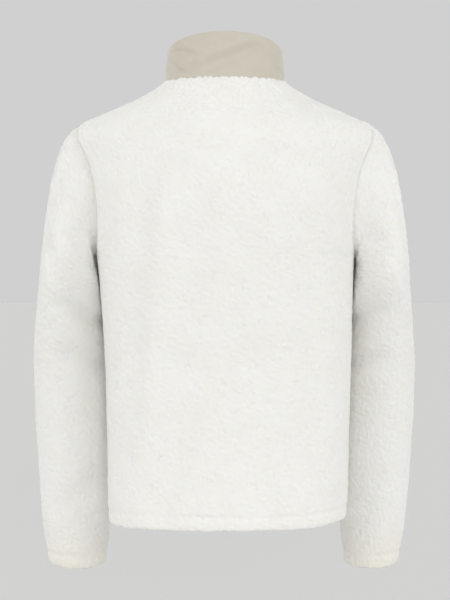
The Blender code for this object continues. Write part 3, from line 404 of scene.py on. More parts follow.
def side_edge(reach):
    """Angles and heights of a panel's side edge: side seam, then armhole, then shoulder seam."""
    turns = math.pi * (SHOULDER_LEVEL - LEVELS) / ARMHOLE_SPAN
    arm_angle, arm_height = armhole(np.clip(turns, 0, math.pi), reach)
    shoulder = SHOULDER_HEIGHT * (NECK_LEVEL - LEVELS) / (NECK_LEVEL - SHOULDER_LEVEL)
    below, above = LEVELS <= UNDERARM_LEVEL, LEVELS >= SHOULDER_LEVEL
    side = np.interp(LEVELS, SIDE_LEVELS, SIDE_HEIGHTS)
    heights = np.select([below, above], [side, shoulder], arm_height)
    return np.where(below | above, 0.0, arm_angle), heights


def neckline(turn):
    """Angle and height where the upright neck opening cuts the body, at turns round the neck.

    The plan of the opening is an oval. Its height is found by halving, between the neck and the
    chest, until the body's section passes through the oval's point.
    """
    x = NECK_HALF_WIDTH * np.cos(turn)
    y = np.where(np.sin(turn) >= 0, NECK_BACK, NECK_FRONT) * np.sin(turn)
    low, high = np.full(np.shape(turn), NECK_LOWEST), np.zeros(np.shape(turn))
    for _ in range(40):
        height = (low + high) / 2
        depth, width = body_depth(y >= 0, height), column(BODY, "half_width", height)
        power = column(BODY, "squareness", height)
        outside = np.abs(x / width) ** power + np.abs(y / depth) ** power > 1
        high, low = np.where(outside, height, high), np.where(outside, low, height)
    return np.arctan2(y / depth, x / width), height


def filled(side, centre, low, high):
    """Grid between four edges, each a pair of angles and heights: the sheet ruled from side to
    centre, and what the low and high edges bend off their own chords, fading up and down.
    """
    up = (LEVELS / NECK_LEVEL)[:, None]
    grids = []
    for s, c, a, b in zip(side, centre, low, high):
        across = np.linspace(0, 1, len(a))
        bends = [edge - (1 - across) * edge[0] - across * edge[-1] for edge in (a, b)]
        ruled = (1 - across) * s[:, None] + across * c[:, None]
        grids.append(ruled + (1 - up) * bends[0] + up * bends[1])
    return grids


def on_side(points, side):
    """Points as for the left side, put on the left (1) or mirrored to the right (-1)."""
    return points * np.array([side, 1.0, 1.0])


def armhole_seam(side):
    """The seam's points for the left (1) or right (-1) arm, the way on along the sleeve's cloth,
    and the way into the joint's face, all as for the left arm.

    The points start at the shoulder and go down the back, under the arm and up the front. The
    sleeve turns out from the body's cloth by a crease that grows from none at the shoulder to
    UNDERARM_CREASE, and the joint's face halves that angle.
    """
    in_armhole = (LEVELS >= UNDERARM_LEVEL) & (LEVELS <= SHOULDER_LEVEL)
    turns = math.pi * (LEVELS[in_armhole] - UNDERARM_LEVEL) / ARMHOLE_SPAN
    halves = armhole(turns, ARMHOLE_BACK), armhole(turns[::-1][1:-1], -ARMHOLE_FRONT)
    angles, heights = (np.concatenate(parts) for parts in zip(*halves))
    if side < 0:
        angles = math.pi - angles
    points = on_side(body(angles, heights), side)
    normals = on_side(body_normal(angles, heights), side)
    round_the_hole = np.linspace(0, 2 * math.pi, len(points), endpoint=False)
    crease = (UNDERARM_CREASE * ((1 - np.cos(round_the_hole)) / 2) ** CREASE_POWER)[:, None]
    past = unit(np.cross(np.roll(points, -1, axis=0) - np.roll(points, 1, axis=0), normals))
    onward = past * np.cos(crease) + normals * np.sin(crease)
    sleeve_normals = normals * np.cos(crease) - past * np.sin(crease)
    return points, onward, -unit(normals + sleeve_normals) / np.cos(crease / 2)


# ------------------------------------------------------------------ the sherpa
# Knitted polyester with a pile of small tight curls in clumps 5 to 8 mm across. The clumps are
# in the surface itself, and finer strands in the finish. The back of the cloth is a plain knit.
CURL_SIZE = 0.0064
CURL_BEND = 0.0020
CURL_HEIGHT = 0.0030                # from the deepest crevice to the highest curl
CURL_ABOVE = 0.0008                 # how far the highest curls stand out of the solid's surface
CURL_REACH = 0.95                   # half a curl's breadth, in its own size
CURL_LUMP, CURL_MEETING, CURL_FINE = 0.40, 0.24, 0.36  # shares of the height, see curls()
MEETING_BREADTH = 0.30              # of the dip where lumps meet, in their size
SEAM_DIP = {1: 0.0032, -1: 0.0008}  # how far a seam draws the pile in: the left arm's hang
SEAM_DIP_BREADTH = 0.0030           # creases its armhole. How far the dip reaches on the body
SLEEVE_DIP_BREADTH = {1: 0.0105, -1: 0.0030}
ROLL_STEPS = 5
TURNED_ROWS = 9                     # rows of the turned layer, up to the stitches
INNER_ROW_STEP = 3                  # the plain knit has fewer rows and columns than the pile
INNER_COLUMN_STEP = 4


def hashed(cells, salt):
    """A number from 0 to 1 for each whole-number place: its counts mixed by odd factors."""
    x, y, z = (cells[..., axis].astype(np.int64) for axis in range(3))
    mixed = (x * 73856093) ^ (y * 19349663) ^ (z * 83492791) ^ (salt * 40503)
    mixed = ((mixed ^ (mixed >> 13)) * 1274126177) & 0x7FFFFFFF
    mixed = ((mixed ^ (mixed >> 15)) * 668265263) & 0x7FFFFFFF
    return (mixed ^ (mixed >> 12)) % 65536 / 65535


def nearest_two(points, size, salt):
    """Distances, in sizes, to the nearest and the second of seeds strewn one in each cell."""
    scaled = points / size
    cell = np.floor(scaled)
    first = np.full(points.shape[:-1], 9.0)
    second = first.copy()
    for step in itertools.product((-1, 0, 1), repeat=3):
        here = cell + np.array(step)
        seeds = here + np.stack([hashed(here, salt + axis) for axis in range(3)], axis=-1)
        distance = np.linalg.norm(scaled - seeds, axis=-1)
        second = np.minimum(second, np.maximum(first, distance))
        first = np.minimum(first, distance)
    return first, second


def drift(points, size, salt):
    """Soft random numbers from -1 to 1: the values of a cell's eight corners, eased together."""
    scaled = points / size
    cell = np.floor(scaled)
    share = ease_in_out(scaled - cell)
    total = 0.0
    for corner in itertools.product((0, 1), repeat=3):
        near = np.where(np.array(corner) == 1, share, 1 - share).prod(-1)
        total = total + near * hashed(cell + np.array(corner), salt)
    return 2 * total - 1


def curls(points):
    """Height of the pile at each place, 0 in a crevice and 1 at a curl's tip.

    A rounded lump round each seed, a dip where two lumps meet, and smaller lumps on those.
    """
    bend = [drift(points, 0.008, salt) for salt in (3, 5, 7)]
    bent = points + CURL_BEND * np.stack(bend, axis=-1)
    first, second = nearest_two(bent, CURL_SIZE, 11)
    fine = nearest_two(bent + CURL_BEND * 0.4 * bend[0][..., None], CURL_SIZE * 0.5, 23)[0]
    lump, small_lump = (np.clip(1 - (near / CURL_REACH) ** 2, 0, 1) for near in (first, fine))
    meeting = ease_in_out((second - first) / MEETING_BREADTH)
    height = CURL_LUMP * lump + CURL_MEETING * meeting + CURL_FINE * small_lump
    return np.clip(height * (1 + 0.12 * drift(points, 0.02, 31)), 0, 1)


def grid_faces(rows, columns, first=0, closed=False, inside=False):
    """Four-sided faces of a grid of points counted row by row, facing out or inside."""
    numbers = first + np.arange(rows * columns).reshape(rows, columns)
    if closed:
        numbers = np.concatenate([numbers, numbers[:, :1]], axis=1)
    order = [numbers[:-1, :-1], numbers[1:, :-1], numbers[1:, 1:], numbers[:-1, 1:]]
    return np.stack(order if inside else order[::-1], axis=-1).reshape(-1, 4)


def edge_loops(grid, closed):
    """A grid's rim as loops: the first and the last row of a tube, or once round a panel."""
    if closed:
        return [grid[0], grid[-1, ::-1]]
    return [np.concatenate([grid[0, :-1], grid[:-1, -1], grid[-1, :0:-1], grid[:0:-1, 0]])]


def rim_faces(outer_loop, inner_loop):
    """Faces between the pile's edge and the knit's edge beside it.

    Each of the pile's edge points has its nearest point of the knit's edge: where two
    neighbours share one the face has three sides, else four.
    """
    a, near_a = outer_loop, inner_loop
    b, near_b = np.roll(outer_loop, -1), np.roll(inner_loop, -1)
    shared = near_a == near_b
    threes = np.stack([a, near_a, b], axis=-1)[shared]
    return threes, np.stack([a, near_a, near_b, b], axis=-1)[~shared]


def turned_edge(points, ways, thickness):
    """Points and ways of a folded edge, to go below a grid's first row.

    Half an oval rolls under the first row, and the turned layer climbs behind it as far as the
    stitches. Thickness is that of both layers, for each row.
    """
    drop = points[0] - points[1]
    down, half = unit(drop), thickness[0][..., None] / 2
    phase = np.linspace(0, math.pi, ROLL_STEPS + 1)[1:, None, None]
    rolled = points[0] - ways[0] * half * (1 - np.cos(phase)) + drop * np.sin(phase)
    roll_ways = unit(ways[0] * np.cos(phase) + down * np.sin(phase))
    layer = np.s_[1:TURNED_ROWS + 1]
    behind = points[layer] - ways[layer] * thickness[layer][..., None]
    return (
        np.concatenate([rolled, behind])[::-1],
        np.concatenate([roll_ways, -ways[layer]])[::-1],
    )


def sherpa_piece(name, points, ways, thickness, inner_edges, dips, cream, closed=False):
    """A cut piece of sherpa: its curly face, its turned edge and its knitted back.

    Points and ways are its grid and the ways out of it, thickness its depth at each, and
    dips what seams draw in. Inner_edges puts the knit's edge rows or columns where the
    neighbouring piece's are. The cream share is how much the pile has yellowed, and in a crease it
    is also painted shade.
    """
    behind = points - ways * thickness[..., None]
    for where, edge in inner_edges:
        behind[where] = edge
    knit = behind[TURNED_ROWS::INNER_ROW_STEP, ::INNER_COLUMN_STEP]
    low_points, low_ways = turned_edge(points, ways, thickness)
    added = len(low_points)
    face, face_ways = np.concatenate([low_points, points]), np.concatenate([low_ways, ways])
    dips = np.pad(dips, ((added, 0), (0, 0)))
    cream = np.pad(cream, ((added, 0), (0, 0)), mode="edge")
    height = curls(face)
    face = face + face_ways * (CURL_HEIGHT * (height - 1) + CURL_ABOVE - dips)[..., None]
    rows, columns = face.shape[:2]
    knit_rows, knit_columns = knit.shape[:2]
    near_row = np.clip(np.arange(rows) - added - TURNED_ROWS, 0, None)
    near_row = (near_row + INNER_ROW_STEP // 2) // INNER_ROW_STEP
    near_column = (np.arange(columns) + INNER_COLUMN_STEP // 2) // INNER_COLUMN_STEP
    first_knit = rows * columns
    own = np.arange(first_knit).reshape(rows, columns)
    near = first_knit + near_row[:, None] * knit_columns + near_column % knit_columns
    faces = [
        grid_faces(rows, columns, closed=closed),
        grid_faces(knit_rows, knit_columns, first_knit, closed=closed, inside=True),
    ]
    for pile_loop, knit_loop in zip(edge_loops(own, closed), edge_loops(near, closed)):
        faces += rim_faces(pile_loop, knit_loop)
    plain = np.full(knit_rows * knit_columns, 0.5)
    return mesh_of(
        name,
        np.concatenate([face.reshape(-1, 3), knit.reshape(-1, 3)]),
        faces,
        (sherpa_pile, sherpa_knit),
        slots=(0, 1),
        curl=np.concatenate([height.ravel(), plain]),
        cream=np.concatenate([cream.ravel(), plain * 0]),
    )


def put(tree, socket, value):
    """Fills a socket with a constant or with another node's output."""
    if isinstance(value, bpy.types.NodeSocket):
        tree.links.new(value, socket)
    else:
        socket.default_value = value if np.isscalar(value) else (*value, 1.0)


def node(tree, kind, output, *values, **named):
    """An output of a new node. Values fill its first sockets, names in capitals the sockets of
    those names, and other names are its settings.
    """
    made = tree.nodes.new("ShaderNode" + kind)
    for key, value in (*named.items(), *enumerate(values)):
        if str(key).islower():
            setattr(made, key, value)
        else:
            put(tree, made.inputs[key.replace("_", " ") if key in named else key], value)
    return made.outputs[output]


def mixed_colour(tree, share, low, high):
    """A colour between two, by a share. Each may be a constant or another node's output."""
    made = tree.nodes.new("ShaderNodeMix")
    made.data_type = "RGBA"
    for socket, value in ((0, share), (6, low), (7, high)):
        put(tree, made.inputs[socket], value)
    return made.outputs[2]


def finish_off(tree, shader, tone, height, strength, distance):
    """Gives a shader its colour, and a bump from a height, by its strength and its depth."""
    bump = node(tree, "Bump", "Normal", Height=height, Strength=strength, Distance=distance)
    put(tree, shader.inputs["Base Color"], tone)
    put(tree, shader.inputs["Normal"], bump)


# Off-white pile: painted shade makes its crevices warmer and darker than its white tips. It is
# yellowed by patches and at the cuffs, has painted shade in the left armhole's crease, and has fine
# strands as a bump
sherpa_pile, tree, shader = finish_of(
    "sherpa_pile", (0.86, 0.85, 0.81), 0.93, Sheen_Weight=0.25, Sheen_Roughness=0.6,
    Subsurface_Weight=0.30, Subsurface_Scale=0.006, Subsurface_Radius=(1.0, 0.9, 0.7),
)
place = node(tree, "TexCoord", "Object")
curl, cream = (node(tree, "Attribute", "Fac", attribute_name=name) for name in ("curl", "cream"))
# Painted shade: the pile's colour goes warmer and darker from its tips down into its crevices, by
# the curls' height
tip = node(tree, "MapRange", "Result", curl, From_Max=0.50)
tone = mixed_colour(tree, tip, (0.825, 0.805, 0.75), (0.89, 0.885, 0.855))
# The cream share yellows the pile at the cuffs, and in the left armhole's crease it is painted
# shade
tone = mixed_colour(tree, cream, tone, (0.84, 0.80, 0.70))
patches = node(tree, "TexNoise", "Fac", place, Scale=22.0, Detail=2.0)
patches = node(tree, "MapRange", "Result", patches, From_Min=0.35, From_Max=0.75, To_Max=0.22)
tone = mixed_colour(tree, patches, tone, (0.80, 0.78, 0.71))
strands = node(tree, "TexNoise", "Fac", place, Scale=620.0, Detail=3.0, Distortion=1.2)
finish_off(tree, shader, tone, strands, 0.55, 0.0012)

# The knitted back: close flat loops, a little darker than the pile
sherpa_knit, tree, shader = finish_of(
    "sherpa_knit", (0.76, 0.74, 0.68), 0.88, Sheen_Weight=0.15, Sheen_Roughness=0.5
)
place = node(tree, "TexCoord", "Object")
patches = node(tree, "TexNoise", "Fac", place, Scale=30.0, Detail=2.0)
tone = mixed_colour(tree, patches, (0.72, 0.70, 0.63), (0.80, 0.78, 0.73))
loops = node(tree, "TexVoronoi", "Distance", place, Scale=480.0)
finish_off(tree, shader, tone, loops, 0.45, 0.0006)


# ------------------------------------------------------------------ back and fronts
# The back is one piece and each front one, sewn at the shoulders and down the sides. The hem is
# turned up inside and stitched. Toward the neck the pile leans over the collar's seam.
NECK_LIP = 0.0016                   # how far the pile reaches up over the collar's seam
NECK_LIP_LEVELS = 0.35              # over how many rows it begins to
ZIP_CLEARS_HEM = 0.030              # how far from the middle the front's hem has its extra layer
COLLAR_TOP_HALF_WIDTH = 0.0875
COLLAR_TOP_BACK = 0.0670
COLLAR_TOP_FRONT = 0.0800
COLLAR_TOP_SIDE_HEIGHT = 0.0440     # height of its upper edge above the origin, at the side
COLLAR_TOP_BACK_HEIGHT = 0.0700
COLLAR_TOP_FRONT_HEIGHT = 0.0080
COLLAR_TOP_ROUNDNESS = 0.95
COLLAR_BULGE = 0.0015
COLLAR_FOLD_RADIUS = 0.080          # turns the angles of the collar into lengths, for its folds
COLLAR_HEIGHT = 0.066
COLLAR_FOLD_ENDS = 1.5
HEM_STEP = 0.004                    # over how much height the hem's extra layer comes in,
ZIP_STEP = 0.012                    # and over how much breadth
ZIP_EDGE_BREADTH = 0.0030           # how far the rolled edge at the zip reaches

# Soft drag lines of the woven collar, by turn round the neck (0 left, 90 back) and by share of
# its height. The first is deeper than the solid's and leans as it does in the picture.
COLLAR_FOLDS = folds_of([
    (118, 0.66, 64, 0.14, 0.0095, 0.0040),
    (150, 0.80, 172, 0.55, 0.008, 0.0010),
    (18, 0.78, 44, 0.62, 0.007, 0.0009),
    (-62, 0.75, -30, 0.35, 0.009, 0.0012),
    (212, 0.35, 244, 0.72, 0.009, 0.0012),
], COLLAR_FOLD_RADIUS, COLLAR_HEIGHT)


def collar(turn, rise):
    """Point of the collar at a turn round the neck and a share of its height.

    It is ruled from the neckline to a leaning upper edge, with a slight bulge between and the
    drag lines of its table.
    """
    turn, rise = np.broadcast_arrays(turn, rise)
    base = body(*neckline(turn))
    across, along = np.cos(turn), np.sin(turn)
    behind = along >= 0
    end_height = np.where(behind, COLLAR_TOP_BACK_HEIGHT, COLLAR_TOP_FRONT_HEIGHT)
    climb = (end_height - COLLAR_TOP_SIDE_HEIGHT) * np.abs(along) ** COLLAR_TOP_ROUNDNESS
    top_y = np.where(behind, COLLAR_TOP_BACK, COLLAR_TOP_FRONT) * along
    top = np.stack([COLLAR_TOP_HALF_WIDTH * across, top_y, COLLAR_TOP_SIDE_HEIGHT + climb], axis=-1)
    outward = np.stack([across, along, np.zeros_like(across)], axis=-1)
    across_up = turn * COLLAR_FOLD_RADIUS, rise * COLLAR_HEIGHT
    dip = trough(*across_up, COLLAR_FOLDS, COLLAR_FOLD_ENDS)
    swell = np.sin(math.pi * np.clip(rise, 0, 1)) * (COLLAR_BULGE - dip)
    return base + (top - base) * rise[..., None] + outward * swell[..., None]


def collar_normal(turn, rise, step=2e-4, rise_step=0.02):
    """Outward normal of the collar, from steps that stay between its two edges."""
    along_turn = collar(turn + step, rise) - collar(turn - step, rise)
    above, below = np.minimum(rise + rise_step, 1), np.maximum(rise - rise_step, 0)
    return unit(np.cross(along_turn, collar(turn, above) - collar(turn, below)))


def neck_seam(turns):
    """The way into the face of the joint of body and collar, for points of the neckline."""
    below, above = body_normal(*neckline(turns)), collar_normal(turns, np.zeros(len(turns)))
    half_angle = np.arccos(np.clip((below * above).sum(-1), -1, 1)) / 2
    return -unit(below + above) / np.cos(half_angle)[:, None]


def off_column(points, edge):
    """Distance of each of a grid's points from the point of its row in one column."""
    return np.linalg.norm(points - points[:, edge][:, None], axis=-1)


def body_piece(name, angles, heights, turns, armholes, zip_edge=None):
    """A panel of the body from its angles and heights, sewn to the collar and to the sleeves.

    Turns are its neckline's, armholes pair a column with the side and face of a sleeve's seam,
    and zip_edge is the column that is folded at the zip. The hem is thicker by its turned
    layer, but not at the zip. Seams and the zip's edge draw in the pile by a bell.
    """
    points, ways = body(angles, heights), body_normal(angles, heights)
    in_hem = ease_in_out((HEM_HEIGHT + HEM_FOLD - heights) / HEM_STEP + 0.5)
    off_zip = ease_in_out((np.abs(points[..., 0]) - ZIP_CLEARS_HEM) / ZIP_STEP)
    thickness = SHERPA_THICKNESS + HEM_EXTRA * in_hem * np.where(np.sin(angles) < 0, off_zip, 1.0)
    dips = sum(
        SEAM_DIP[side] * bell(off_column(points, edge), SEAM_DIP_BREADTH)
        for edge, side, _ in armholes
    )
    if zip_edge is not None:
        dips = dips + EDGE_ROLL * bell(off_column(points, zip_edge), ZIP_EDGE_BREADTH)
    inner_edges = [(-1, points[-1] + neck_seam(turns) * SHERPA_THICKNESS)]
    in_armhole = np.flatnonzero((LEVELS >= UNDERARM_LEVEL) & (LEVELS <= SHOULDER_LEVEL))
    for edge, side, face in armholes:
        seam, _, into_face = (on_side(part, side) for part in armhole_seam(side))
        steps = in_armhole[-1] - in_armhole
        if face == "front":
            steps = (len(seam) - steps) % len(seam)
        points[in_armhole, edge] = seam[steps]
        ways[in_armhole, edge] = -into_face[steps]
        inner_edge = seam[steps] + into_face[steps] * SHERPA_THICKNESS
        inner_edges.append((np.s_[in_armhole, edge], inner_edge))
    bottom, top = np.zeros(len(turns)), np.full(len(turns), 0.06)
    up_collar = unit(collar(turns, top) - collar(turns, bottom))
    lean = bell(NECK_LEVEL - LEVELS, NECK_LIP_LEVELS)[:, None, None]
    uneven = 0.4 + 0.9 * curls(points[-1])[None, :, None]
    points = points + NECK_LIP * lean * uneven * up_collar
    cream = np.zeros(points.shape[:2])
    return sherpa_piece(name, points, ways, thickness, inner_edges, dips, cream)


# The left half of the back from its side edge to its middle, and the left front to the zip
turns = np.linspace(0, math.pi / 2, HALF_PANEL_COLUMNS + 1)
hem = np.full(len(turns), HEM_HEIGHT)
heights = centre_heights(BACK_SHOULDER_ROW, 0.0)
centre = np.full(len(heights), math.pi / 2), heights
back_angles, back_heights = filled(side_edge(ARMHOLE_BACK), centre, (turns, hem), neckline(turns))

front_turns = np.linspace(0, math.acos(ZIP_OPENING / NECK_HALF_WIDTH), HALF_PANEL_COLUMNS + 1)
front_neck = neckline(-front_turns)
heights = centre_heights(FRONT_SHOULDER_ROW, front_neck[1][-1])
centre = -np.arccos(ZIP_OPENING / column(BODY, "half_width", heights)), heights
centre[0][-1] = front_neck[0][-1]
hem_end = -math.acos(ZIP_OPENING / column(BODY, "half_width", HEM_HEIGHT))
front_hem = np.linspace(0, hem_end, HALF_PANEL_COLUMNS + 1), hem
front_angles, front_heights = filled(side_edge(-ARMHOLE_FRONT), centre, front_hem, front_neck)

back_piece = body_piece(
    "back_cloth",
    np.concatenate([back_angles, math.pi - back_angles[:, -2::-1]], axis=1),
    np.concatenate([back_heights, back_heights[:, -2::-1]], axis=1),
    np.linspace(0, math.pi, 2 * HALF_PANEL_COLUMNS + 1),
    [(0, 1, "back"), (-1, -1, "back")],
)
left_front = body_piece(
    "front_left_cloth",
    front_angles[:, ::-1],
    front_heights[:, ::-1],
    -front_turns[::-1],
    [(-1, 1, "front")],
    zip_edge=0,
)
right_front = body_piece(
    "front_right_cloth",
    math.pi - front_angles,
    front_heights,
    math.pi + front_turns,
    [(0, -1, "front")],
    zip_edge=-1,
)
for piece, node_name, flat, area in (
    (back_piece, "back", (0.52, 0.70), 0.33),
    (left_front, "front_left", (0.27, 0.69), 0.155),
    (right_front, "front_right", (0.27, 0.69), 0.155),
):
    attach(piece, "jacket")
    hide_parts(node_name)


# ------------------------------------------------------------------ sleeves
# Each sleeve is one piece with a single seam under the arm, set into its armhole. It hangs a
# little to the front as a relaxed arm does, creased inside the elbow, with a turned cuff.
CUFF_FOLD = 0.024
CUFF_CREAM = 0.55                   # how much the pile has yellowed at the cuff's edge,
CUFF_CREAM_BREADTH = 0.05           # how far up that reaches,
SEAM_PAINTED_SHADE = 0.5                    # and how much painted shade, in the cream colour, the left armhole's crease has
SLEEVE_CLEARANCE = 0.0012           # from a sleeve's pile to the pile of the body beside it
JOIN_LEVEL = 9                      # where the cap has become a tube
CUFF_LEVEL = 23                     # just above the cuff's stitches
EASE_LEVELS = 3                     # over how many levels folds begin below the armhole
SLEEVE_FOLD_ENDS = 1.6
PUSH_FADE = 0.012                   # below the underarm, where a sleeve begins to be kept off
PUSH_SOFTNESS = 0.003               # the body, and how softly it is
CAP_LEAVES = (0.66, 0.34)           # the pull of a cap's line where it leaves the armhole and
CAP_ARRIVES = (1.00, 0.20)          # where it joins the tube: at the shoulder, more underneath
CAP_POWER = 1.15                    # how much closer its rows are near the armhole
SLEEVE_FOLD_RADIUS = 0.055

# Sections of the sleeves below the underarm, square to the arm: distances from the jacket's
# middle to the inner and outer side of each, where the arm's middle is in front of the side
# seam, half its depth from front to back, and how far its inner side is swung to the front.
SLEEVE = table("height left_inner left_outer right_inner right_outer middle half_depth swing", [
    (-0.7540, 0.1935, 0.2755, 0.1945, 0.2700, -0.1015, 0.0375, 0),
    (-0.7470, 0.1895, 0.2795, 0.1900, 0.2748, -0.1008, 0.0385, 0),
    (-0.7280, 0.1870, 0.2828, 0.1870, 0.2785, -0.0985, 0.0395, 0),
    (-0.7200, 0.1862, 0.2842, 0.1860, 0.2800, -0.0975, 0.0400, 0),
    (-0.6950, 0.1830, 0.2880, 0.1830, 0.2838, -0.0945, 0.0430, 0.02),
    (-0.6400, 0.1790, 0.2918, 0.1808, 0.2888, -0.0880, 0.0455, 0.06),
    (-0.5700, 0.1768, 0.2950, 0.1806, 0.2930, -0.0790, 0.0485, 0.12),
    (-0.5000, 0.1765, 0.2975, 0.1815, 0.2958, -0.0690, 0.0525, 0.18),
    (-0.4300, 0.1785, 0.2978, 0.1838, 0.2955, -0.0570, 0.0575, 0.24),
    (-0.3700, 0.1815, 0.2935, 0.1868, 0.2902, -0.0440, 0.0650, 0.28),
    (-0.3150, 0.1850, 0.2865, 0.1890, 0.2850, -0.0290, 0.0735, 0.30),
    (-0.2980, 0.1860, 0.2842, 0.1895, 0.2832, -0.0240, 0.0765, 0.30),
])
# Creases run across a sleeve, by turn round it in degrees from the outside towards the back.
# The second of each arm is the cloth that bulges toward the body, more than in the solid.
SLEEVE_FOLDS = {
    1: folds_of([
        (100, -0.165, 140, -0.225, 0.010, 0.0050),
        (147, -0.225, 158, -0.335, 0.018, -0.0095),
        (70, -0.255, 130, -0.345, 0.016, 0.0045),
        (110, -0.262, 185, -0.325, 0.013, -0.0045),
        (112, -0.345, 190, -0.372, 0.013, 0.0065),
        (105, -0.420, 190, -0.440, 0.015, 0.0060),
        (95, -0.640, 170, -0.600, 0.018, 0.0026),
        (250, -0.190, 205, -0.255, 0.012, 0.0060),
        (295, -0.330, 225, -0.400, 0.016, 0.0042),
        (300, -0.430, 230, -0.460, 0.015, 0.0046),
        (290, -0.560, 240, -0.600, 0.018, 0.0030),
    ], SLEEVE_FOLD_RADIUS),
    -1: folds_of([
        (88, -0.190, 138, -0.235, 0.010, 0.0045),
        (147, -0.225, 158, -0.335, 0.018, -0.0095),
        (110, -0.285, 185, -0.345, 0.014, -0.0040),
        (118, -0.352, 190, -0.366, 0.013, 0.0058),
        (112, -0.425, 190, -0.436, 0.014, 0.0052),
        (60, -0.300, 120, -0.235, 0.018, 0.0030),
        (95, -0.610, 170, -0.640, 0.018, 0.0024),
        (252, -0.185, 205, -0.250, 0.012, 0.0060),
        (300, -0.345, 228, -0.405, 0.016, 0.0040),
        (296, -0.440, 232, -0.470, 0.015, 0.0048),
    ], SLEEVE_FOLD_RADIUS),
}
CUFF_EDGE, SLEEVE_TOP = SLEEVE["height"][[0, -1]]
SLEEVE_LEVELS = levels_of(
    [(0, JOIN_LEVEL, 99), (JOIN_LEVEL, CUFF_LEVEL, 210), (23, 25, 6), (25, 26, 5), (26, 26.5, 1)]
)
SLEEVE_HEIGHTS = np.interp(
    SLEEVE_LEVELS,
    [JOIN_LEVEL, CUFF_LEVEL, 24, 25, 26, 27],
    [SLEEVE_TOP, *(CUFF_EDGE + edge_marks(CUFF_FOLD)[::-1])],
)
ABOVE_CUFF = np.where(SLEEVE_LEVELS > JOIN_LEVEL, SLEEVE_HEIGHTS - CUFF_EDGE, 9 * CUFF_FOLD)


def sleeve_ring(side, turn, height):
    """Point of a sleeve's plain tube, as for the left arm. Its sections lean with the arm.

    A section is an oval between the table's inner and outer sides, swung about the arm so that
    its inner side comes further to the front.
    """
    turn, height = np.broadcast_arrays(turn, height)
    name = "left" if side > 0 else "right"
    inner, outer = column(SLEEVE, name + "_inner", height), column(SLEEVE, name + "_outer", height)
    half_depth = column(SLEEVE, "half_depth", height)
    swung = column(SLEEVE, "swing", height) * half_depth
    half_width = np.sqrt(((outer - inner) / 2) ** 2 - swung**2)
    low, high = np.maximum(height - 0.02, CUFF_EDGE), np.minimum(height + 0.02, SLEEVE_TOP)
    lean = (column(SLEEVE, "middle", high) - column(SLEEVE, "middle", low)) / (high - low)
    back = half_depth * np.sin(turn) / np.sqrt(1 + lean**2)
    x = (inner + outer) / 2 + half_width * np.cos(turn) + swung * np.sin(turn)
    return np.stack([x, column(SLEEVE, "middle", height) + back, height - back * lean], axis=-1)


def ring_normals(rings):
    """Outward normals of a stack of closed rings, from neighbouring points."""
    around = np.roll(rings, -1, axis=1) - np.roll(rings, 1, axis=1)
    return unit(np.cross(np.gradient(rings, axis=0), around))


def kept_off_body(points, side, started):
    """Points of a sleeve with those that lie in or near the body's side moved off it.

    How far a point is off the body is its level distance from the body's section there. The
    push fades in over the first rows under the arm, and softly round the clearance itself.
    """
    x, y, z = points[..., 0] * side, points[..., 1], points[..., 2]
    depth, width = body_depth(y >= 0, z), column(BODY, "half_width", z)
    power = column(BODY, "squareness", z)
    aside = np.abs(x - column(BODY, "sway", z)) / width
    ahead = np.abs(y) / depth
    off = np.hypot(x, y) * (1 - (aside**power + ahead**power) ** (-1 / power))
    below = ease_in_out((UNDERARM_HEIGHT - z) / PUSH_FADE) * started
    short = SLEEVE_CLEARANCE - off
    push = below * (short + np.sqrt(short**2 + PUSH_SOFTNESS**2)) / 2
    level = [aside ** (power - 1) / width, np.sign(y) * ahead ** (power - 1) / depth]
    return points + unit(np.stack([*level, np.zeros_like(x)], axis=-1)) * push[..., None]


def sleeve_grid(side):
    """A sleeve's points as for the left arm, from the armhole down to the cuff, and the way into
    its joint's face.

    Each lengthwise line leaves the armhole along the cloth's way there and joins the tube in
    the tube's own way: a cubic with those two directions at its ends.
    """
    points, onward, into_face = armhole_seam(side)
    turns = np.linspace(0, 2 * math.pi, len(points), endpoint=False)
    joined = sleeve_ring(side, turns, SLEEVE_TOP)
    way = unit(sleeve_ring(side, turns, SLEEVE_TOP - 0.004) - joined)
    distance = np.linalg.norm(joined - points, axis=-1, keepdims=True)
    underneath = ((1 - np.cos(turns)) / 2)[:, None]
    leaving = onward * distance * (CAP_LEAVES[0] + CAP_LEAVES[1] * underneath)
    arriving = way * distance * (CAP_ARRIVES[0] + CAP_ARRIVES[1] * underneath)
    in_cap = SLEEVE_LEVELS <= JOIN_LEVEL
    share = ((SLEEVE_LEVELS[in_cap] / JOIN_LEVEL) ** CAP_POWER)[:, None, None]
    cap = cubic(share, points, leaving, joined, arriving)
    plain = np.concatenate([cap, sleeve_ring(side, turns, SLEEVE_HEIGHTS[~in_cap, None])])
    started = ease_in_out(SLEEVE_LEVELS / EASE_LEVELS)[:, None]
    across = np.broadcast_to(turns * SLEEVE_FOLD_RADIUS, plain.shape[:2])
    dip = trough(across, plain[..., 2], SLEEVE_FOLDS[side], SLEEVE_FOLD_ENDS) * started
    dip = dip + edge_dip(ABOVE_CUFF, CUFF_FOLD)[:, None]
    return kept_off_body(plain - dip[..., None] * ring_normals(plain), side, started), into_face


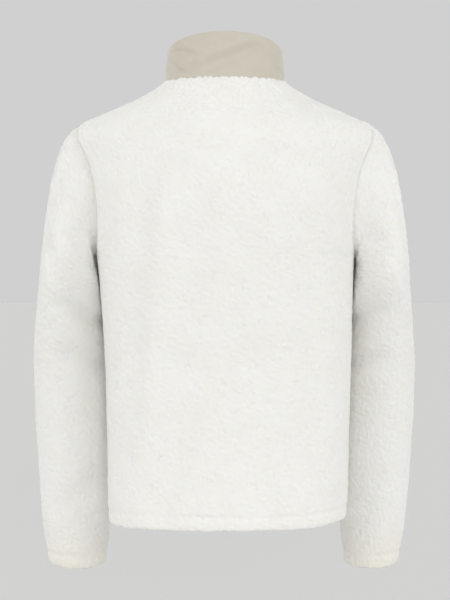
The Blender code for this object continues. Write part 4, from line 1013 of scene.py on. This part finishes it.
for side, name in ((1, "sleeve_left"), (-1, "sleeve_right")):
    grid, into_face = sleeve_grid(side)
    ways = ring_normals(grid)
    ways[0] = -into_face
    dips = SEAM_DIP[side] * bell(np.linalg.norm(grid - grid[:1], axis=-1), SLEEVE_DIP_BREADTH[side])
    # Painted shade: the pile beside the left armhole's seam is coloured warmer and darker, as the
    # shade in its crease is
    cream = SEAM_PAINTED_SHADE * dips / max(SEAM_DIP.values()) * (side > 0)
    cream = cream + CUFF_CREAM * bell(ABOVE_CUFF, CUFF_CREAM_BREADTH)[:, None]
    in_cuff = ease_in_out(SLEEVE_LEVELS - (CUFF_LEVEL + 0.5))[:, None]
    thickness = SHERPA_THICKNESS + HEM_EXTRA * in_cuff + 0 * dips
    inner_edge = on_side(grid[0] + into_face * SHERPA_THICKNESS, side)[::side]
    order = np.s_[::-1, ::side]     # up from the cuff, and round as seen from outside
    made = sherpa_piece(
        name + "_cloth", on_side(grid, side)[order], on_side(ways, side)[order],
        thickness[order], [(-1, inner_edge)], dips[order], cream[order], closed=True,
    )
    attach(made, "jacket")
    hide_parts(name)


# ------------------------------------------------------------------ collar
# A stand collar of two layers of smooth woven shell, turned at its upper edge and sewn into the
# neck seam. It leans in a little and has soft drag lines from being pulled up.
SHELL_THICKNESS = 0.003
COLLAR_COLUMNS = 336
COLLAR_ROWS = 44
EDGE_ROWS = 6                       # rows round the turned upper edge
WRINKLE_ENDS = 1.8
WRINKLE_FADE = 1 / 6                # the share of its height by which wrinkles fade at an edge
WEAVE_SCALE = 1450 / 6.3            # threads a metre, as the shader's waves count them
COLLAR_WRINKLES = folds_of([
    (108, 0.80, 62, 0.40, 0.0085, -0.0018),
    (92, 0.30, 70, 0.10, 0.0040, 0.0013),
    (34, 0.72, 58, 0.56, 0.0042, 0.0022),
    (22, 0.52, 40, 0.20, 0.0050, 0.0022),
    (40, 0.20, 64, 0.06, 0.0036, 0.0014),
    (128, 0.70, 152, 0.30, 0.0055, 0.0011),
    (150, 0.30, 176, 0.10, 0.0045, 0.0011),
    (96, 0.85, 120, 0.62, 0.0050, 0.0008),
    (-70, 0.60, -40, 0.20, 0.0045, 0.0009),
    (-30, 0.80, -6, 0.45, 0.0045, 0.0008),
    (196, 0.45, 226, 0.80, 0.0045, 0.0009),
    (222, 0.25, 250, 0.55, 0.0045, 0.0008),
], COLLAR_FOLD_RADIUS, COLLAR_HEIGHT)


def with_uv(piece, across, up):
    """Gives a piece a UV map named cloth from two numbers on its points, in metres."""
    mesh = piece.data
    corner = np.empty(len(mesh.loops), np.int32)
    mesh.loops.foreach_get("vertex_index", corner)
    both = np.stack([across.ravel()[corner], up.ravel()[corner]], axis=-1)
    mesh.uv_layers.new(name="cloth").data.foreach_set("uv", both.astype(np.float32).ravel())


def lengths_along(points):
    """Length of the line through the points, from the first to each."""
    return np.concatenate([[0], np.cumsum(np.linalg.norm(np.diff(points, axis=0), axis=-1))])


def folded_end(line, order=1):
    """Faces across the end of a folded band, from its points there in their order round it."""
    there, back = line[:len(line) // 2], line[::-1][:len(line) // 2]
    return np.stack([there[:-1], there[1:], back[1:], back[:-1]], axis=-1)[:, ::order]


def make_collar():
    """The collar as one closed sheet: up its outer face, over the edge and down the inner face.

    Finer wrinkles lie on the face: shallow bells that fade at both edges.
    """
    neck_end = math.acos(ZIP_OPENING / NECK_HALF_WIDTH)
    turns = np.linspace(-neck_end, math.pi + neck_end, COLLAR_COLUMNS + 1)
    half = SHELL_THICKNESS / 2
    rises = np.linspace(0, 1, COLLAR_ROWS + 1)[:, None] * (1 - half / COLLAR_HEIGHT)
    turn, rise = np.broadcast_arrays(turns[None, :], rises)
    ways = collar_normal(turn, rise)
    dent = trough(turn * COLLAR_FOLD_RADIUS, rise * COLLAR_HEIGHT, COLLAR_WRINKLES, WRINKLE_ENDS)
    dent = dent * ease_in_out(rise / WRINKLE_FADE) * ease_in_out((1 - rise) / WRINKLE_FADE)
    outer = collar(turn, rise) - ways * dent[..., None]
    inner = outer - ways * SHELL_THICKNESS
    inner[0] = outer[0] + neck_seam(turns) * SHELL_THICKNESS
    up = unit(outer[-1] - outer[-2])
    phases = np.linspace(0, math.pi, EDGE_ROWS + 2)[1:-1, None, None]
    edge = outer[-1] - ways[-1] * half * (1 - np.cos(phases)) + up * half * np.sin(phases)
    sheet = np.concatenate([outer, edge, inner[::-1]])
    rows, columns = sheet.shape[:2]
    numbers = np.arange(rows * columns).reshape(rows, columns)
    first, last = numbers[0], numbers[-1]
    base = np.stack([first[1:], first[:-1], last[:-1], last[1:]], axis=-1)
    ends = folded_end(numbers[:, 0]), folded_end(numbers[:, -1], -1)
    faces = [grid_faces(rows, columns), base, *ends]
    piece = mesh_of("collar_shell_cloth", sheet.reshape(-1, 3), faces, (collar_shell,))
    up_cloth = lengths_along(sheet[:, columns // 2])
    with_uv(piece, *np.broadcast_arrays(turns * COLLAR_FOLD_RADIUS, up_cloth[:, None]))
    return piece


# Plain-woven taupe shell: fine crossing threads as a bump, and faint uneven shading
collar_shell, tree, shader = finish_of(
    "collar_shell", (0.56, 0.52, 0.44), 0.62, Sheen_Weight=0.12, Sheen_Roughness=0.4
)
place = node(tree, "UVMap", "UV", uv_map="cloth")
threads = [
    node(tree, "TexWave", "Fac", place, bands_direction=way, Scale=WEAVE_SCALE) for way in "XY"
]
crossing = node(tree, "Math", 0, *threads, operation="MULTIPLY")
slubs = node(tree, "TexNoise", "Fac", place, Scale=55.0, Detail=4.0)
tone = mixed_colour(tree, slubs, (0.525, 0.485, 0.405), (0.60, 0.565, 0.485))
tone = mixed_colour(tree, crossing, tone, (0.60, 0.56, 0.48))
finish_off(tree, shader, tone, crossing, 0.18, 0.0003)

collar_piece = make_collar()
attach(collar_piece, "jacket")
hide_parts("collar")


# ------------------------------------------------------------------ the zip's tapes and chain
# Two woven tapes sewn behind the front edges, each with a row of moulded teeth. The teeth of one
# side stand between those of the other from the retainer box up to the slider.
TAPE_EDGE = 0.0145
TAPE_INNER_EDGE = 0.0011            # from the middle to the tape's edge beside the teeth,
TAPE_OPEN_EDGE = 0.0016             # and above the slider
TAPE_THICKNESS = 0.0009
TAPE_LOW = 0.001
TAPE_RISE = 0.95
TAPE_ROWS = 420
TAPE_COLUMNS = 8
TAPE_LINES = np.linspace(0.0005, TAPE_EDGE, 6)  # where the front's surface is read for it
TAPE_OPENS = 0.004                  # how far above the slider the tapes part
CHAIN_HEIGHT = 0.0022
CHAIN_WIDTH = 0.0031
CLEARANCE = 0.0004
BOX_LOW = 0.0015
BOX_HIGH = 0.0115
BOX_HALF_WIDTH = 0.0044
SLIDER_RISE = 0.865
TOOTH_PITCH = 0.0026
TOOTH_LENGTH = 0.0011               # of one tooth along the chain
CHAIN_FOOT = 0.0016                 # from the retainer box to the first tooth
CHAIN_TOP = 0.0035                  # that the chain leaves free of its length at the slider
TOOTH_OVERLAP = 0.0006              # how far its head reaches past the middle line
TOOTH_SQUARENESS = 0.6              # the power of its ovals: 1 is round, 0 square
FRONT_LINE_ROWS = 700


def front_line(x):
    """Points and outward ways up the closed front at a distance from its middle, hem to collar.

    They lie on the body's surface as far as the neckline and on the collar's above it.
    """
    neck_turn = -np.arccos(x / NECK_HALF_WIDTH)
    heights = np.linspace(HEM_HEIGHT, float(neckline(neck_turn)[1]), FRONT_LINE_ROWS)
    angles = -np.arccos(x / column(BODY, "half_width", heights))
    rises = np.linspace(0, 1, FRONT_LINE_ROWS // 8)[1:]
    turns = np.full(len(rises), neck_turn)
    points = np.concatenate([body(angles, heights), collar(turns, rises)])
    return points, np.concatenate([body_normal(angles, heights), collar_normal(turns, rises)])


middle_points, middle_ways = front_line(0.0)
middle_lengths = lengths_along(middle_points)
neck_length = middle_lengths[FRONT_LINE_ROWS - 1]
collar_length = middle_lengths[-1] - neck_length
slider_length = neck_length + SLIDER_RISE * collar_length


def resampled(values, lengths):
    """Values given up the front line, read at lengths along its middle."""
    return np.stack([np.interp(lengths, middle_lengths, values[:, k]) for k in range(3)], -1)


def cloth_depth(length):
    """Depth of the tape's outer face: behind the sherpa, then behind the collar's shell."""
    seam, thinner = neck_length, neck_length + 0.25 * collar_length
    return np.interp(length, [seam, thinner], [SHERPA_THICKNESS, SHELL_THICKNESS]) + CLEARANCE


def front_place(length):
    """Places on the middle line at lengths along it, with the ways across, up and out."""
    origin, out = resampled(middle_points, length), resampled(middle_ways, length)
    across = np.broadcast_to(np.array([1.0, 0.0, 0.0]), origin.shape)
    out = unit(out - across * (out * across).sum(-1, keepdims=True))
    return origin, across, np.cross(out, across), out


def make_tape(side, name):
    """One tape: a thin closed band behind the front edge, between lines up the front."""
    lengths = np.linspace(TAPE_LOW, neck_length + TAPE_RISE * collar_length, TAPE_ROWS)
    inner_edge = np.select(
        [lengths < BOX_HIGH + CLEARANCE, lengths > slider_length + TAPE_OPENS],
        [BOX_HALF_WIDTH + CLEARANCE, TAPE_OPEN_EDGE],
        TAPE_INNER_EDGE,
    )[:, None]
    places = inner_edge + (TAPE_EDGE - inner_edge) * np.linspace(0, 1, TAPE_COLUMNS)
    lines = zip(*(front_line(x) for x in TAPE_LINES))
    points, ways = (np.stack([resampled(line, lengths) for line in part], 1) for part in lines)
    row = np.arange(len(lengths))[:, None]
    at = (places - TAPE_LINES[0]) / (TAPE_LINES[1] - TAPE_LINES[0])
    at = np.clip(at, 0, len(TAPE_LINES) - 1 - 1e-6)
    low, part = np.floor(at).astype(int), (at % 1)[..., None]
    surface = points[row, low] * (1 - part) + points[row, low + 1] * part
    ways = unit(ways[row, low] * (1 - part) + ways[row, low + 1] * part)
    face = surface - ways * cloth_depth(lengths)[:, None, None]
    back = face - ways * TAPE_THICKNESS
    band = on_side(np.concatenate([face, back[:, ::-1]], axis=1), side)[:, ::side]
    flat_across = np.concatenate([places, places[:, ::-1]], axis=1)[:, ::side]
    rows, columns = band.shape[:2]
    top = np.arange((rows - 1) * columns, rows * columns)
    ends = folded_end(np.arange(columns), -1), folded_end(top)
    faces = [grid_faces(rows, columns, closed=True), *ends]
    made = mesh_of(f"zip_tape_{name}", band.reshape(-1, 3), faces, (zip_tape,))
    with_uv(made, flat_across, np.repeat(lengths[:, None], columns, axis=1))
    return made


def signed_power(values, power):
    """A power of each number's size, with the number's sign."""
    return np.sign(values) * np.abs(values) ** power


def make_teeth(side, name):
    """A row of teeth, each a lump with a waist that clasps the tape's edge and a round head.

    Its outline across is a closed profile of rings: the foot, the waist, the shoulder and the
    head, each an eight-sided oval, with flat ends.
    """
    shift = 0.0 if side > 0 else 0.5
    count = int((slider_length - BOX_HIGH - CHAIN_TOP) / TOOTH_PITCH - shift)
    lengths = BOX_HIGH + CHAIN_FOOT + TOOTH_PITCH * (np.arange(count) + shift)
    stations = np.array([CHAIN_WIDTH, CHAIN_WIDTH - 0.0006, 0.0012, 0.0003, -TOOTH_OVERLAP])
    half_along = TOOTH_LENGTH / 2 * np.array([0.70, 1.0, 0.86, 1.12, 0.62])
    half_high = CHAIN_HEIGHT / 2 * np.array([0.66, 1.0, 1.0, 0.92, 0.55])
    phases = np.linspace(0, 2 * math.pi, 8, endpoint=False) + math.pi / 8
    x = np.repeat(side * stations[:, None], 8, axis=1)
    up = half_along[:, None] * signed_power(np.cos(phases), TOOTH_SQUARENESS)
    deep = half_high[:, None] * signed_power(np.sin(phases), TOOTH_SQUARENESS)
    middle = cloth_depth(lengths) - CHAIN_HEIGHT / 2 + TAPE_THICKNESS / 2
    origin, across, upward, out = (way[:, None, None] for way in front_place(lengths))
    sunk = out * (deep + middle[:, None, None])[..., None]
    points = origin + across * x[..., None] + upward * up[..., None] - sunk
    ring = np.arange(40).reshape(5, 8)
    starts = (np.arange(count) * ring.size)[:, None, None]
    walls = grid_faces(*ring.shape, closed=True, inside=side < 0) + starts
    ends = np.stack([ring[0], ring[-1, ::-1]])[:, ::-side] + starts
    faces = [walls.reshape(-1, 4), ends.reshape(-1, 8)]
    return mesh_of(f"zip_teeth_{name}", points.reshape(-1, 3), faces, (zip_teeth,))


# Woven taupe tape: narrow ribs across it
zip_tape, tree, shader = finish_of("zip_tape", (0.50, 0.46, 0.39), 0.78, Sheen_Weight=0.1)
place = node(tree, "UVMap", "UV", uv_map="cloth")
ribs = node(tree, "TexWave", "Fac", place, bands_direction="Y", Scale=190.0)
rows = node(tree, "TexWave", "Fac", place, bands_direction="X", Scale=120.0)
tone = mixed_colour(tree, ribs, (0.44, 0.405, 0.34), (0.53, 0.49, 0.42))
finish_off(tree, shader, tone, node(tree, "Math", 0, ribs, rows, operation="ADD"), 0.35, 0.0003)

# Moulded teeth: even taupe plastic, faintly mottled, with a soft gloss
zip_teeth, tree, shader = finish_of("zip_teeth", (0.43, 0.395, 0.33), 0.42)
place = node(tree, "TexCoord", "Object")
grain = node(tree, "TexNoise", "Fac", place, Scale=900.0, Detail=2.0)
tone = mixed_colour(tree, grain, (0.40, 0.365, 0.305), (0.46, 0.425, 0.36))
finish_off(tree, shader, tone, grain, 0.10, 0.0002)

for side, name in ((1, "left"), (-1, "right")):
    tape, teeth = make_tape(side, name), make_teeth(side, name)
    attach(tape, "jacket")
    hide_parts(f"zip_side_{name}")
    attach(teeth, "jacket")


# ------------------------------------------------------------------ slider, pull tab, end box
# Die-cast and lacquered in taupe. The slider has a front and a back plate joined by a post, and
# an arch on its front plate holds the hanging pull tab. A box at the hem holds the chain's end.
SLIDER_HALF_WIDTH = 0.0040
SLIDER_HALF_LENGTH = 0.0060
SLIDER_PLATE = 0.0016
PLATE_BEVEL = 0.0004
POST_HALF_WIDTH = 0.0012
POST_LENGTH = 0.0024
POST_SUNK = 0.0002                  # how far the post reaches into each plate
ARCH_HALF_WIDTH = 0.0010
ARCH_HALF_THICKNESS = 0.0005
ARCH_HOLLOW = 0.0026
HINGE_RISE = 0.0010
TAB_HALF_WIDTH = 0.0035
TAB_LENGTH = 0.0260
TAB_THICKNESS = 0.0014
WINDOW_HALF_WIDTH = 0.0019
WINDOW_LENGTH = 0.0050
GRIP_LOW = 0.0140                   # from the hinge down to where the tab is drawn in for a
GRIP_HALF_LENGTH = 0.0050           # finger and thumb, how far that reaches up and down
GRIP_HALF_WIDTH = 0.0022            # and to the sides, and how deep it is, of its thickness
GRIP_DEPTH = 0.35
TAB_TAPER = 0.10                    # how much narrower its foot is
BOX_FRONT = 0.0026
BOX_BACK = 0.0070
BOX_BEVEL = 0.0006
SHARP_ABOVE = math.radians(38)


def rounded_outline(half_width, half_low, half_high, taper, squareness, count=40):
    """A closed outline: a superellipse with its own reach down and up, narrower below."""
    turn = np.linspace(0, 2 * math.pi, count, endpoint=False)
    across = signed_power(np.cos(turn), 2 / squareness)
    up = signed_power(np.sin(turn), 2 / squareness)
    reach = np.where(up > 0, half_high, half_low)
    return np.stack([across * half_width * (1 + taper * up), up * reach], axis=-1)


def placed(frame_here, across_up, depth):
    """Points at places across and up on a frame, and at depths below its surface."""
    origin, across, up, out = frame_here
    return origin + across * across_up[..., :1] + up * across_up[..., 1:] - out * depth[..., None]


def capped(rings, inside=False):
    """Points and faces of a stack of closed rings, with its two ends shut."""
    rows, columns = rings.shape[:2]
    order = -1 if inside else 1
    ring = np.arange(columns)[None]
    walls = grid_faces(rows, columns, closed=True, inside=inside)
    return rings.reshape(-1, 3), [walls, ring[:, ::-order], ring[:, ::order] + (rows - 1) * columns]


def plate_of(frame_here, outline, front, back, bevel):
    """Points and faces of a plate: the outline, drawn in at its front and back by a bevel."""
    centre = outline.mean(0)
    size = np.abs(outline - centre).max()
    draw = np.array([0.5, 1 - 1.6 * bevel / size, 1 - 0.5 * bevel / size, 1])
    steps = np.array([0.0, 0.0, 0.25, 1.0]) * bevel
    scales = np.concatenate([draw, draw[::-1]])[:, None, None]
    depths = np.concatenate([front + steps, back - steps[::-1]])[:, None]
    rings = centre + (outline - centre) * scales
    return capped(placed(frame_here, rings, depths), inside=True)


def swept(path, side_way, half_side, half_thick, count=12):
    """Points and faces of an oval bar along a path that lies square to one way."""
    other = unit(np.cross(np.gradient(path, axis=0), side_way))[:, None]
    turn = np.linspace(0, 2 * math.pi, count, endpoint=False)[None, :, None]
    oval = side_way * half_side * np.cos(turn) + other * half_thick * np.sin(turn)
    return capped(path[:, None] + oval)


def metal_piece(name, parts):
    """One metal object from closed bodies that touch, each its points and groups of faces."""
    groups, first = [], 0
    for points, faces in parts:
        groups += [face + first for face in faces]
        first += len(points)
    made = mesh_of(name, np.concatenate([points for points, _ in parts]), groups, (zip_metal,))
    made.data.set_sharp_from_angle(angle=SHARP_ABOVE)
    return made


def frame_at(length):
    """The place and the three ways on the front's middle line at one length along it."""
    return tuple(part[0] for part in front_place(np.array([length])))


def tab_rings():
    """The tab as a ring of sections round its window.

    Each section runs from the window's outline to the tab's, with bevelled corners, and its
    front and back are drawn in a little where a finger and thumb hold it.
    """
    half_window = WINDOW_LENGTH / 2
    reach_up = half_window + TAB_THICKNESS
    hole = rounded_outline(WINDOW_HALF_WIDTH, half_window, half_window, 0.0, 4.5, 72)
    edge = rounded_outline(TAB_HALF_WIDTH, TAB_LENGTH - reach_up, reach_up, 0.0, 5.0, 72)
    edge[:, 0] *= 1 - TAB_TAPER * np.clip(-edge[:, 1] / TAB_LENGTH, 0, 1)
    out = [0.10, 0.30, 0.50, 0.70, 0.92]
    reach = np.array([0.0, 0.0, *out, 1.0, 1.0, *out[::-1]])[:, None, None]
    face = np.array([0.55, -0.55, -1, -1, -1, -1, -1, -0.55, 0.55, 1, 1, 1, 1, 1])[:, None]
    rings = hole + (edge - hole) * reach
    held = bell(rings[..., 1] + GRIP_LOW, GRIP_HALF_LENGTH) * bell(rings[..., 0], GRIP_HALF_WIDTH)
    depth = plate_outer - ARCH_HOLLOW / 2 + face * TAB_THICKNESS / 2 * (1 - GRIP_DEPTH * held)
    rings = rings + np.array([0.0, HINGE_RISE - TAB_THICKNESS / 2 - half_window])
    return placed(slider_frame, rings, depth)


# Lacquered die-cast metal: satin, faintly mottled, with an uneven gloss and a faint bump
zip_metal, tree, shader = finish_of(
    "zip_metal", (0.42, 0.385, 0.32), 0.38, Metallic=0.35, Coat_Weight=0.2, Coat_Roughness=0.3
)
place = node(tree, "TexCoord", "Object")
mottle = node(tree, "TexNoise", "Fac", place, Scale=420.0, Detail=4.0)
tone = mixed_colour(tree, mottle, (0.37, 0.335, 0.275), (0.47, 0.435, 0.37))
worn = node(tree, "MapRange", "Result", mottle, To_Min=0.30, To_Max=0.48)
put(tree, shader.inputs["Roughness"], worn)
finish_off(tree, shader, tone, mottle, 0.08, 0.0002)

slider_frame = frame_at(slider_length)
tape_face = float(cloth_depth(slider_length))
plate_inner = tape_face - CHAIN_HEIGHT - CLEARANCE
plate_outer = plate_inner - SLIDER_PLATE
back_outer = tape_face + TAPE_THICKNESS + CLEARANCE
slider_outline = rounded_outline(
    0.93 * SLIDER_HALF_WIDTH, SLIDER_HALF_LENGTH, SLIDER_HALF_LENGTH, 0.07, 3.6
)
post_outline = rounded_outline(POST_HALF_WIDTH, POST_LENGTH / 2, POST_LENGTH / 2, 0.0, 2.6, 20)
post_outline[:, 1] += SLIDER_HALF_LENGTH - PLATE_BEVEL - POST_LENGTH / 2

# The arch: a straight leg out of the plate, half a round, and a leg back
arch_radius = ARCH_HOLLOW / 2 + ARCH_HALF_THICKNESS
sweep = np.linspace(0, math.pi, 15)
leg = np.linspace(0.0004, -ARCH_HOLLOW / 2, 4)[:-1]
arch_up = np.concatenate([np.full(3, -1.0), -np.cos(sweep), np.full(3, 1.0)])
arch_up = HINGE_RISE + arch_radius * arch_up
arch_depth = np.concatenate([leg, -ARCH_HOLLOW / 2 - arch_radius * np.sin(sweep), leg[::-1]])
arch_path = placed(slider_frame, np.stack([0 * arch_up, arch_up], -1), plate_outer + arch_depth)

slider = metal_piece("slider", [
    plate_of(slider_frame, slider_outline, plate_outer, plate_inner, PLATE_BEVEL),
    plate_of(slider_frame, slider_outline, back_outer, back_outer + SLIDER_PLATE, PLATE_BEVEL),
    plate_of(slider_frame, post_outline, plate_inner - POST_SUNK, back_outer + POST_SUNK, 0.0001),
    swept(arch_path, slider_frame[1], ARCH_HALF_WIDTH, ARCH_HALF_THICKNESS),
])
tab = tab_rings()
tab_faces = grid_faces(len(tab) + 1, tab.shape[1], closed=True, inside=True) % tab[..., 0].size
pull_tab = metal_piece("pull_tab", [(tab.reshape(-1, 3), [tab_faces])])

box_frame = frame_at((BOX_LOW + BOX_HIGH) / 2)
box_half = (BOX_HIGH - BOX_LOW) / 2
box_outline = rounded_outline(BOX_HALF_WIDTH, box_half, box_half, 0.0, 6.0)
box_parts = [plate_of(box_frame, box_outline, BOX_FRONT, BOX_BACK, BOX_BEVEL)]
end_box = metal_piece("retainer_box", box_parts)
for piece, node_name, rides_on in (
    (slider, "zip_slider", "jacket"),
    (pull_tab, "zip_pull", "pull"),
    (end_box, "zip_retainer_box", "jacket"),
):
    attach(piece, rides_on)
    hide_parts(node_name)
